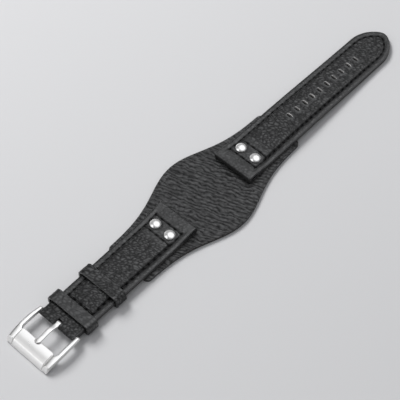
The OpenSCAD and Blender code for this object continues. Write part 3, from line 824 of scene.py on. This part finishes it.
# Height of a half's top over its underside, before the lug end and the fold are rolled round
def surface(s, y, isTip):
    side = sideAt(s, isTip)
    distance = edgeDistance(s, y, isTip)
    near, far = g["rivetRowNear"], g["rivetRowFar"]
    turnedBack = 0 if isTip else folded(s)
    border = borderHeight(s, isTip)
    height = border + (middleHeight(s, isTip) - border) * dome(s, y, side)
    height -= g["foldBevel"] * turnedBack * smooth(1 - distance / g["stitchInset"])
    height -= g["grooveDepth"] * grooveShare(s, y, side, distance, isTip)
    sewn = (1 - turnedBack) * smooth((s - g["lugPlace"] - 2) / 5)
    height += g["bead"] * bell(distance - g["beadInset"], g["beadWidth"]) * sewn
    # hollows between the lug's roll and the first row, between the rows, and round each rivet
    crest = g["lugPlace"] + g["lugRadius"] + 0.4
    height -= g["lugDip"] * smooth((s - crest) / (near - crest)) * smooth((near + 1.5 - s) / 1.5)
    band = smooth((s - near) / 1.2) * smooth((far - s) / 1.2)
    height -= g["rivetBandDip"] * band * smooth((side - g["stitchInset"] - abs(y)) / 0.8)
    r = rivetShape
    away = min(math.hypot(s - r["place"], abs(y) - r["spacing"] / 2), 9)
    height -= r["ringDip"] * bell(away - r["ring"], r["ringWidth"])
    if isTip:
        rim = holeDistance(s, y)
        height += g["rimHeight"] * bell(rim - 0.5, 0.34) - g["rimSink"] * smooth(1 - rim / 0.3)
    else:
        strength = smooth((side - abs(y)) / 1.5) * mix(0.35, 1, smooth((y + 6) / 10))
        height += g["ridgeHeight"] * bell(s - g["ridge"], g["ridgeWidth"]) * strength
        height -= g["ridgeHollow"] * bell(s - g["ridge"] - 1.2, g["ridgeWidth"]) * strength
    height -= rollOff(distance, g["edgeRadius"])
    if away < r["radius"] + 0.1:
        height = min(height, r["seat"] - g["padTop"] - 0.03)
    return height


# How strong the grain is: weaker on the borders, on the lug end and round the holes
def grainShare(s, y, isTip):
    distance = edgeDistance(s, y, isTip)
    share = mix(0.6, 1.0, smooth((distance - g["stitchInset"] - 0.3) / 0.8))
    share *= mix(0.55, 1.0, smooth((s - g["rivetRowFar"]) / 6))
    if isTip:
        share *= smooth(holeDistance(s, y) / 1.6)
    else:
        share = mix(share, 1.0, folded(s))
    return share * smooth(distance / 0.5) * smooth((sideAt(s, isTip) - 1) / 2)


def grainDeep(s, y, isTip):
    return (1 - grainAt(halfGrain, s if isTip else -s, y)) * grainShare(s, y, isTip)


def halfTop(s, y, isTip):
    full = surface(s, y, isTip) - g["grainDepth"] * grainDeep(s, y, isTip)
    full += g["unevenness"] * noise.noise(Vector((s * 0.12, y * 0.12, 2 if isTip else 7)))
    share = lugRolled(s)
    middle = g["lugRadius"]
    if not isTip and s > barPlace:
        share *= rolled(s - barPlace, foldRadius)
        middle = foldRadius
    return baseAt(s, isTip) + middle + (full - middle) * share


# The underside rests on the lining, or is the leather's own where it is turned back
def halfBottom(s, isTip):
    if s > g["foldPlace"] and (isTip or s < g["blockPlace"]):
        return baseAt(s, isTip) + g["lining"] + g["liningGap"]
    lift = g["lugRadius"] * (1 - lugRolled(s))
    if not isTip:
        lift += foldRadius * (1 - rolled(s - barPlace, foldRadius))
    return baseAt(s, isTip) + lift


# Cuts the ten oblong holes
def cutHoles(piece, middle, depth):
    radius, reach = holeShape["radius"], holeShape["reach"]
    bm = bmesh.new()
    for hole in holePlaces:
        size = Matrix.Diagonal((2 * radius, 2 * reach, depth, 1))
        bmesh.ops.create_cube(bm, size=1, matrix=Matrix.Translation((hole, 0, middle)) @ size)
    cut(piece, plainObject("holeMiddles", bm))
    bm = bmesh.new()
    for hole in holePlaces:
        for side in (1, -1):
            place = Matrix.Translation((hole, side * reach, middle))
            bmesh.ops.create_cone(bm, cap_ends=True, segments=28, radius1=radius, radius2=radius,
                                  depth=depth, matrix=place)
    cut(piece, plainObject("holeEnds", bm))


# The empty tunnel in the lug end, slightly flattened
def cutLugTunnel(piece):
    radius = g["tunnelRadius"]
    tunnel = rods("tunnel", [((0, -20, 0), (0, 20, 0))], radius)
    tunnel.data.transform(Matrix.Diagonal((g["tunnelLength"], 1, g["tunnelHeight"], 1)))
    x = g["lugPlace"] + g["lugRadius"] + radius * (g["tunnelLength"] - 1)
    tunnel.data.transform(Matrix.Translation((x, 0, g["padTop"] + g["lugRadius"])))
    cut(piece, tunnel)


# Room for the spring bar and the tang in the buckle's fold
def cutBuckleSlot(piece):
    slotHalf = g["slotWidth"] / 2

    def barRod(name, reach, radius, segments):
        return rods(name, [((barPlace, -reach, barHeight), (barPlace, reach, barHeight))], radius, segments)

    cut(piece, barRod("barTunnel", 20, g["barTunnel"], 32))
    cut(piece, block("slot", (barPlace - g["slotOpen"], -slotHalf, 0), (g["leatherEnd"] + 1, slotHalf, 9)))
    cut(piece, barRod("slotBack", slotHalf, g["slotRadius"], 40))


def makeHalf(name, isTip):
    quarter = [math.pi / 2 * k / 12 for k in range(13)]
    roll = [g["lugPlace"] + g["lugRadius"] * (1 - math.cos(a)) for a in quarter]
    if isTip:
        nose = [noseCentre + g["noseRadius"] * math.sin(math.pi / 2 * k / 26) for k in range(27)]
    else:
        nose = [g["leatherEnd"] - foldRadius * (1 - math.sin(a)) for a in quarter]
    count = round((nose[0] - roll[-1]) / g["step"])
    places = roll + [mix(roll[-1], nose[0], k / count) for k in range(1, count)] + nose
    width = g["lugWidth"]
    edgeSteps = [0, 0.07, 0.17, 0.3, 0.46, 0.65, 0.87]
    shares = [2 * c / width - 1 for c in spreadPlaces(width, g["acrossStep"], edgeSteps)]

    def topAt(row, column):
        s = places[row]
        y = shares[column] * sideAt(s, isTip)
        least = 0 if row in (0, len(places) - 1) else 0.05
        return s, y, max(halfTop(s, y, isTip), halfBottom(s, isTip) + least)

    def bottomAt(row, column):
        s = places[row]
        return s, shares[column] * sideAt(s, isTip), halfBottom(s, isTip)

    piece = plainObject(name, thickGrid(len(places) - 1, len(shares) - 1, topAt, bottomAt))
    cutLugTunnel(piece)
    if isTip:
        cutHoles(piece, 3, 12)
    else:
        cutBuckleSlot(piece)

    # Painted shade: darker colour and less shine in the grain's creases and in the stitch grooves
    def creaseShadeValue(co):
        below = co.z < halfBottom(co.x, isTip) + 0.3
        distance = edgeDistance(co.x, co.y, isTip)
        groove = 0 if below else grooveShare(co.x, co.y, sideAt(co.x, isTip), distance, isTip)
        return max(0, 1 - 0.85 * grainDeep(co.x, co.y, isTip) - min(groove, 1))

    # The far rim of a hole shows its pale cut edge and a painted highlight; the near rim gets neither
    def cutRimHighlight(co):
        isRim = holeDistance(co.x, co.y) < 0.02 and co.z > baseAt(co.x, True) + 1.6
        return 1 if isRim and co.x > nearestHole(co.x) + 0.3 else 0

    paint(piece, "grainCreaseShade", creaseShadeValue)
    if isTip:
        # painted highlight with the pale cut edge on the far rims of the holes
        paint(piece, "cut", cutRimHighlight)
    else:
        reflect(piece, mirrored)
    half = "tip_half" if isTip else "buckle_half"
    finishPiece(piece, "strap", leather, [half + "_upper", half + "_padding"], 45)


makeHalf("tipHalf", True)
print("tip half made")
makeHalf("buckleHalf", False)
print("buckle half made")


# Linings under the halves
def makeHalfLining(name, isTip):
    start = g["foldPlace"] + 0.05
    end = g["blockPlace"] - 0.1
    places = [start, start + 0.1, start + 0.3]
    if isTip:
        places += [mix(start + 0.3, noseCentre, k / 120) for k in range(1, 120)]
        places += [noseCentre + g["noseRadius"] * math.sin(math.pi / 2 * k / 20) for k in range(21)]
    else:
        places += [mix(start + 0.3, end - 0.3, k / 70) for k in range(1, 71)] + [end - 0.1, end]
    width = g["lugWidth"]
    shares = [2 * c / width - 1 for c in spreadPlaces(width, 1.6, [0, 0.05, 0.15, 0.3])]

    def at(row, column, top):
        s = places[row]
        side = sideAt(s, isTip)
        distance = (1 - abs(shares[column])) * side
        ease = rollOff(min(distance, s - start + 0.02), 0.28)
        return s, shares[column] * side, baseAt(s, isTip) + (g["lining"] - ease if top else ease)

    piece = plainObject(name, thickGrid(len(places) - 1, len(shares) - 1,
                                        lambda r, c: at(r, c, True), lambda r, c: at(r, c, False)))
    if isTip:
        cutHoles(piece, 1, 6)
    else:
        reflect(piece, mirrored)
    node = "tip_half_lining" if isTip else "buckle_half_lining"
    finishPiece(piece, "strap", lining, [node], 50)


makeHalfLining("tipLining", True)
makeHalfLining("buckleLining", False)
print("linings made")


# Stitches: one small bead of thread for each, sunk in the grooves
stitchShape = {"length": 1.25, "width": 0.27, "height": 0.22, "sunk": 0.02, "slant": 7.0}


def makeStitches(name, isTip):
    st = stitchShape
    bm = bmesh.new()
    for s, y, turn in seamPoints(isTip, 0.5):
        z = baseAt(s, isTip) + surface(s, y, isTip) + st["sunk"]
        slope = math.atan2(surface(s + 0.5, y, isTip) - surface(s - 0.5, y, isTip), 1) * 0.5
        shape = (Matrix.Translation((s, y, z)) @ Matrix.Rotation(turn + math.radians(st["slant"]), 4, "Z")
                 @ Matrix.Rotation(-slope * math.cos(turn), 4, "Y")
                 @ Matrix.Diagonal((st["length"], st["width"], st["height"], 1)))
        bmesh.ops.create_uvsphere(bm, u_segments=8, v_segments=6, radius=1,
                                  matrix=shape @ Matrix.Rotation(math.pi / 2, 4, "Y"))
    piece = plainObject(name, bm)
    if not isTip:
        reflect(piece, mirrored)
    finishPiece(piece, "strap", thread, (), 60)


makeStitches("tipStitches", True)
makeStitches("buckleStitches", False)
print("stitches made")


# Rivets: domed heads with a thin rim, on their posts
def makeRivets(name, node, sign):
    r = rivetShape
    domeRadius = (r["radius"] ** 2 + r["height"] ** 2) / (2 * r["height"])
    centre = r["height"] + r["rim"] - domeRadius
    foot = -r["seat"] + 0.6
    profile = [(0, foot), (r["post"], foot), (r["post"], 0), (r["radius"] - 0.06, 0), (r["radius"], 0.06),
               (r["radius"], r["rim"] - 0.04)]
    last = math.asin((r["radius"] - 0.06) / domeRadius)
    for a in [last * (1 - k / 12) for k in range(13)]:
        profile.append((domeRadius * math.sin(a), centre + domeRadius * math.cos(a)))
    bm = bmesh.new()
    for side in (1, -1):
        x = sign * r["place"]
        y = side * r["spacing"] / 2
        chain = [bm.verts.new((x + a, y, r["seat"] + b)) for a, b in profile]
        edges = [bm.edges.new(pair) for pair in zip(chain, chain[1:])]
        bmesh.ops.spin(bm, geom=chain + edges, cent=(x, y, 0), axis=(0, 0, 1), angle=2 * math.pi,
                       steps=56, use_merge=True)
    finishPiece(plainObject(name, closeUp(bm, 0.002)), "strap", chrome, [node], 40)


makeRivets("tipRivets", "tip_half_rivets", 1)
makeRivets("buckleRivets", "buckle_half_rivets", -1)
print("rivets made")


# Keepers: a strip of leather closed into a loop; insets run from the buckle end of the leather
keeperShape = {
    "width": 6.2, "thickness": 1.1, "corner": 0.34, "step": 0.27, "grainDepth": 0.2, "bottomRadius": 0.4,
    "topShare": 0.47, "foldDepth": 0.12, "foldWidth": 0.65, "unevenness": 0.07, "wander": 0.1,
    "freeInset": 28.4, "freePlay": 0.25, "fixedInset": 10.3, "fixedSidePlay": 1.2, "fixedTopPlay": 0.4,
}


# The loop's line as places with outward directions
def loopPath(halfWidth, low, high, topRadius, bottomRadius, step):
    corners = [(halfWidth - topRadius, high - topRadius, topRadius, 0),
               (-halfWidth + topRadius, high - topRadius, topRadius, 90),
               (-halfWidth + bottomRadius, low + bottomRadius, bottomRadius, 180),
               (halfWidth - bottomRadius, low + bottomRadius, bottomRadius, 270)]
    ring = []
    for y, z, radius, start in corners:
        count = max(4, round(radius * math.pi / 2 / step))
        for a in [math.radians(start + 90 * k / count) for k in range(count + 1)]:
            ring.append((y + radius * math.cos(a), z + radius * math.sin(a), math.cos(a), math.sin(a)))
    path = []
    for a, b in zip(ring, ring[1:] + ring[:1]):
        count = max(1, round(math.hypot(b[0] - a[0], b[1] - a[1]) / step))
        path += [tuple(mix(p, q, k / count) for p, q in zip(a, b)) for k in range(count)]
    return path


# The strip's cross-section, with rounded edges
def keeperSection():
    k = keeperShape
    halfW, halfT, corner = k["width"] / 2, k["thickness"] / 2, k["corner"]
    flat = halfW - corner
    count = round(2 * flat / k["step"])
    angles = [math.radians(22.5 * j) for j in (1, 2, 3)]
    arc = [(corner * math.sin(a), corner * (1 - math.cos(a))) for a in angles]
    back = [(corner * math.cos(a), corner * (1 - math.sin(a))) for a in angles]
    ring = [(mix(-flat, flat, j / count), halfT) for j in range(count + 1)]
    ring += [(flat + out, halfT - down) for out, down in arc]
    ring += [(halfW, halfT - corner), (halfW, -halfT + corner)]
    ring += [(flat + out, -halfT + down) for out, down in back]
    ring += [(mix(flat, -flat, j / 6), -halfT) for j in range(7)]
    ring += [(-flat - out, -halfT + down) for out, down in arc]
    ring += [(-halfW, -halfT + corner), (-halfW, halfT - corner)]
    ring += [(-flat - out, halfT - down) for out, down in back]
    return ring


def makeKeeper(name, node, body, middle, halfWidth, low, high, seed, grainLeft, folds):
    k = keeperShape
    half = k["thickness"] / 2
    topRadius = k["topShare"] * (high - low)
    path = loopPath(halfWidth + half, low - half, high + half, topRadius + half, k["bottomRadius"] + half,
                    k["step"])
    section = keeperSection()
    total = len(path)

    def pointAt(row, column):
        y, z, ny, nz = path[row % total]
        across, out = section[column % len(section)]
        unrolled = (row % total) * k["step"]
        onTop = nz > 0.5
        lift = 0
        if out > half - 0.01:
            inside = smooth((k["width"] / 2 - abs(across)) / 0.6)
            deep = 1 - grainAt(keeperGrain, across + seed, unrolled)
            lift = -k["grainDepth"] * grainLeft * inside * deep
            for place, slant, bend in folds if onTop else []:
                off = y - place - slant * across - bend * across ** 2
                off += 0.6 * noise.noise(Vector((across, place, 9)))
                lift -= k["foldDepth"] * inside * bell(off, k["foldWidth"])
            turn = 2 * math.pi * unrolled / (total * k["step"])
            ringPlace = Vector((across * 0.3 + seed, 3 * math.cos(turn), 3 * math.sin(turn)))
            lift += k["unevenness"] * noise.noise(ringPlace)
        edge = k["wander"] * noise.noise(Vector((unrolled * 0.2, seed, 3))) if onTop else 0
        grow = (out + lift) / math.hypot(ny, nz)
        return middle + across + edge, y + ny * grow, z + nz * grow

    # Painted shade: darker colour and less shine in the grain's creases on the outside of the loop
    def creaseShadeValue(co):
        nearest = min(range(total), key=lambda i: (path[i][0] - co.y) ** 2 + (path[i][1] - co.z) ** 2)
        y, z, ny, nz = path[nearest]
        out = (co.y - y) * ny + (co.z - z) * nz
        across = co.x - middle
        if out < half - 0.3 or abs(across) > k["width"] / 2 - 0.2:
            return 1
        return 1 - 0.85 * grainLeft * (1 - grainAt(keeperGrain, across + seed, nearest * k["step"]))

    piece = plainObject(name, closeUp(mappedGrid(total, len(section), pointAt), 0.003))
    paint(piece, "grainCreaseShade", creaseShadeValue)
    finishPiece(piece, body, leather, [node], 60)


# The free keeper runs on the crown, and the fixed one stands on the fold with two creases
def makeKeepers():
    k = keeperShape
    top = g["padTop"]
    fixedPlace = g["leatherEnd"] - k["fixedInset"]
    play = k["freePlay"]
    makeKeeper("freeKeeper", "free_keeper", "free_keeper", k["freeInset"] - g["leatherEnd"],
               sideAt(g["wingPlace"], False) + play, top - play, top + g["crown"] + play, 40, 1.0, [])
    makeKeeper("fixedKeeper", "fixed_keeper", "strap", -fixedPlace,
               sideAt(fixedPlace, False) + k["fixedSidePlay"], top,
               top + g["foldHeight"] + k["fixedTopPlay"], 80, 0.6, [(6.4, 0.5, 0.05), (1.6, 0.65, -0.05)])


makeKeepers()
print("keepers made")


# Buckle: u runs from the spring bar to the front, v across and w up
buckleShape = {
    # arms and plate
    "inner": 10.4, "armWidth": 2.5, "bulge": 0.6, "length": 19.9, "thickness": 2.6, "bend": 1.2,
    "roundPlace": 0.955, "roundReach": 0.035, "plateWidth": 18.4, "plateDepth": 8.6, "plateDome": 0.3,
    "plateBevel": 2.0, "plateFoot": 0.3, "shoulderReach": 0.55, "shoulderDrop": 0.5, "frontDrop": 1.9,
    "cornerStep": 1.0, "cornerReach": 1.4, "groove": 0.34, "armSquare": 0.72,
    "boreRadius": 0.47, "boreDepth": 1.3,
    # notch for the tang's tip, with a moat round its seat
    "notchRadius": 1.4, "notchDepth": 0.85, "moatRadius": 1.75, "moatDepth": 1.9,
    # tang
    "tangWidth": 2.3, "tangThickness": 1.15, "tangOverlap": 1.5, "eyeRadius": 1.45, "eyeBore": 0.8,
    "eyeRim": 0.35, "arch": 0.75, "tangSquare": 0.6,
}
b = buckleShape
halfThick = b["thickness"] / 2
plateBack = b["length"] - b["plateDepth"]
bevelPlace = b["length"] - b["plateBevel"]
reach = math.hypot(b["length"], halfThick)
buckleTilt = math.asin(barHeight / reach) - math.atan2(halfThick, b["length"])
onBar = Matrix.Translation((-barPlace, 0, barHeight)) @ Matrix.Rotation(-buckleTilt, 4, "Y") @ mirrored
tangLength = plateBack + b["tangOverlap"]
notchPlace = tangLength - b["tangWidth"] / 2


def armOuter(u):
    t = max(u, 0)
    return b["inner"] + b["armWidth"] - b["bulge"] * (2 * t / b["length"] - 1) ** 2


def armInner(u):
    return mix(b["inner"], b["plateWidth"] / 2, smooth((u - plateBack + 0.5) / (2 * b["cornerStep"])))


# Middle and top of the frame, seen from the side
def frameMid(u):
    return b["bend"] * (1 - (2 * max(u, 0) / b["length"] - 1) ** 2)


def frameTop(u):
    facet = min(max((u - bevelPlace) / b["plateBevel"], 0), 1)
    return frameMid(u) + halfThick - b["frontDrop"] * facet


notchFloor = frameMid(notchPlace) + halfThick - b["notchDepth"]


# A point on a ring that is squarer the lower the power
def roundedRing(angle, power):
    c, s = math.cos(angle), math.sin(angle)
    return math.copysign(abs(c) ** power, c), math.copysign(abs(s) ** power, s)


def makeArm(side):
    frontPlace = b["length"] * b["roundPlace"]
    frontReach = b["length"] * b["roundReach"]
    places = [-halfThick * math.cos(math.pi / 2 * k / 10) for k in range(10)]
    places += [bevelPlace * k / 56 for k in range(57)]
    places += [mix(bevelPlace, frontPlace, k / 4) for k in range(1, 5)]
    places += [frontPlace + frontReach * math.sin(math.pi / 2 * k / 8) for k in range(1, 9)]
    around = 32

    def pointAt(row, column):
        u = places[row]
        ringY, ringZ = roundedRing(2 * math.pi * column / around, b["armSquare"])
        inner, outer = armInner(max(u, 0)), armOuter(max(u, 0))
        halfW = (outer - inner) / 2
        high, low = frameTop(u), frameMid(u) - halfThick
        halfH = (high - low) / 2
        if u < 0:
            share = math.sqrt(max(1 - (u / halfThick) ** 2, 0))
            halfH *= share
            halfW *= 0.78 + 0.22 * share
        ease = math.sqrt(max(1 - (max(u - frontPlace, 0) / frontReach) ** 2, 0))
        halfW *= 0.82 + 0.18 * ease
        halfH *= 0.7 + 0.3 * ease
        return u, side * ((inner + outer) / 2 + halfW * ringY), (high + low) / 2 + halfH * ringZ

    return plainObject("arm", filledTube(len(places) - 1, around, pointAt))


# A solid with this side view, as u and w, between two places across the buckle
def sidePiece(name, outline, start, end):
    return plainObject(name, prism([(u, start, w) for u, w in outline], (0, end - start, 0)))


# The domed plate, cut back at its two rear corners
def makePlate(name):
    low, high = -halfThick, halfThick
    run = bevelPlace - plateBack - 0.5
    front = b["length"]
    frontHigh = high - b["frontDrop"]
    foot, shoulder, drop = b["plateFoot"], b["shoulderReach"], b["shoulderDrop"]
    side = [(plateBack + foot, low), (plateBack, low + foot)]
    for a in [math.radians(15 * k) for k in range(6)]:
        side.append((plateBack + shoulder * (1 - math.cos(a)), high - drop + drop * math.sin(a)))
    for t in [k / 16 for k in range(17)]:
        side.append((plateBack + shoulder + run * t, high + b["plateDome"] * math.sin(math.pi * t)))
    side += [(front - 0.12, frontHigh), (front, frontHigh - 0.16), (front, low + foot), (front - foot, low)]
    side += [(mix(front - foot, plateBack + foot, k / 12), low) for k in range(1, 12)]
    halfW = b["plateWidth"] / 2 + 0.3
    plate = sidePiece(name, [(u, w + frameMid(u)) for u, w in side], -halfW, halfW)
    inner = halfW - b["cornerReach"]
    outer = halfW + 0.2
    for sign in (1, -1):
        corner = [(plateBack - 1, sign * inner, -3), (plateBack, sign * inner, -3),
                  (plateBack + b["cornerStep"], sign * outer, -3), (plateBack - 1, sign * outer, -3)]
        cut(plate, plainObject("corner", prism(corner, (0, 0, 9))))
    return plate


def notchRod(name, low, high, radius):
    return rods(name, [((notchPlace, 0, low), (notchPlace, 0, high))], radius)


def makeFrame():
    piece = makePlate("buckle")
    for side in (1, -1):
        combine(piece, makeArm(side), "UNION")
    groove = b["groove"]
    start, end = plateBack + b["cornerStep"] + 0.3, b["length"] + 0.5
    floor = [(u, frameTop(u) - 1.5 * groove) for u in [mix(start, end, k / 12) for k in range(13)]]
    for side in (1, -1):
        v = side * b["plateWidth"] / 2
        cut(piece, sidePiece("groove", floor + [(end, 6), (start, 6)], v - groove / 2, v + groove / 2))
        bore = ((0, side * (b["inner"] - 0.5), 0), (0, side * (b["inner"] + b["boreDepth"]), 0))
        cut(piece, rods("bore", [bore], b["boreRadius"], 24))
    cut(piece, notchRod("notch", notchFloor, 6, b["notchRadius"]))
    moat = notchRod("moat", notchFloor - b["moatDepth"], 6, b["moatRadius"])
    cut(moat, notchRod("seat", -5, notchFloor, b["tangWidth"] / 2))
    cut(piece, moat)
    reflect(piece, onBar)
    finishPiece(piece, "buckle_frame", steel, ["buckle_frame"], 38)


# The tang's eye, spun about the bar
def makeEye(halfWidth):
    bm = bmesh.new()
    inner, outer, rim = 0.5, b["eyeRadius"], b["eyeRim"]
    corner = [(outer - rim + rim * math.sin(a), halfWidth - rim + rim * math.cos(a))
              for a in [math.pi / 2 * k / 4 for k in range(5)]]
    profile = [(inner, -halfWidth)] + [(r, -y) for r, y in corner] + corner[::-1] + [(inner, halfWidth)]
    verts = [bm.verts.new((0, y, r)) for r, y in profile]
    edges = [bm.edges.new((first, second)) for first, second in zip(verts, verts[1:] + verts[:1])]
    bmesh.ops.spin(bm, geom=verts + edges, cent=(0, 0, 0), axis=(0, 1, 0), angle=2 * math.pi, steps=48,
                   use_merge=True)
    bmesh.ops.recalc_face_normals(bm, faces=bm.faces)
    return plainObject("eye", bm)


def makeTang():
    half = b["tangThickness"] / 2
    halfW = b["tangWidth"] / 2
    start = b["eyeRadius"] - half - 0.1
    end = notchFloor + 0.05 + half
    places = [tangLength * k / 40 for k in range(36)]
    last = places[-1]
    places += [last + (tangLength - last) * math.sin(math.pi / 2 * k / 14) for k in range(1, 15)]
    around = 28

    def pointAt(row, column):
        u = places[row]
        t = u / tangLength
        arched = smooth((t - 0.08) / 0.3) - smooth((t - 0.42) / 0.38)
        middle = mix(start, end, min(t / 0.8, 1)) + b["arch"] * arched
        over = max(u - (tangLength - halfW), 0)
        wide = math.sqrt(max(halfW ** 2 - over ** 2, 0))
        tall = half * (0.55 + 0.45 * math.sqrt(max(1 - (over / halfW) ** 2, 0)))
        ringY, ringZ = roundedRing(2 * math.pi * column / around, b["tangSquare"])
        return u, wide * ringY, middle + tall * ringZ

    piece = plainObject("tangPiece", filledTube(len(places) - 1, around, pointAt))
    combine(piece, makeEye(halfW), "UNION")
    cut(piece, rods("eyeBore", [((0, -4, 0), (0, 4, 0))], b["eyeBore"], 40))
    reflect(piece, onBar)
    finishPiece(piece, "tang", steel, ["tang"], 38)


makeFrame()
makeTang()
print("buckle made")


# Nodes that are shown as they were packed
carriedOver = {
    "tip_half_rivet_caps": chrome, "buckle_half_rivet_caps": chrome, "spring_bar_barrel": innerSteel,
    "spring_bar_tip_left": innerSteel, "spring_bar_tip_right": innerSteel, "spring_bar_spring": innerSteel,
}
for node, material in carriedOver.items():
    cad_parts[node].data.materials.clear()
    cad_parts[node].data.materials.append(material)
print("carried-over nodes finished")
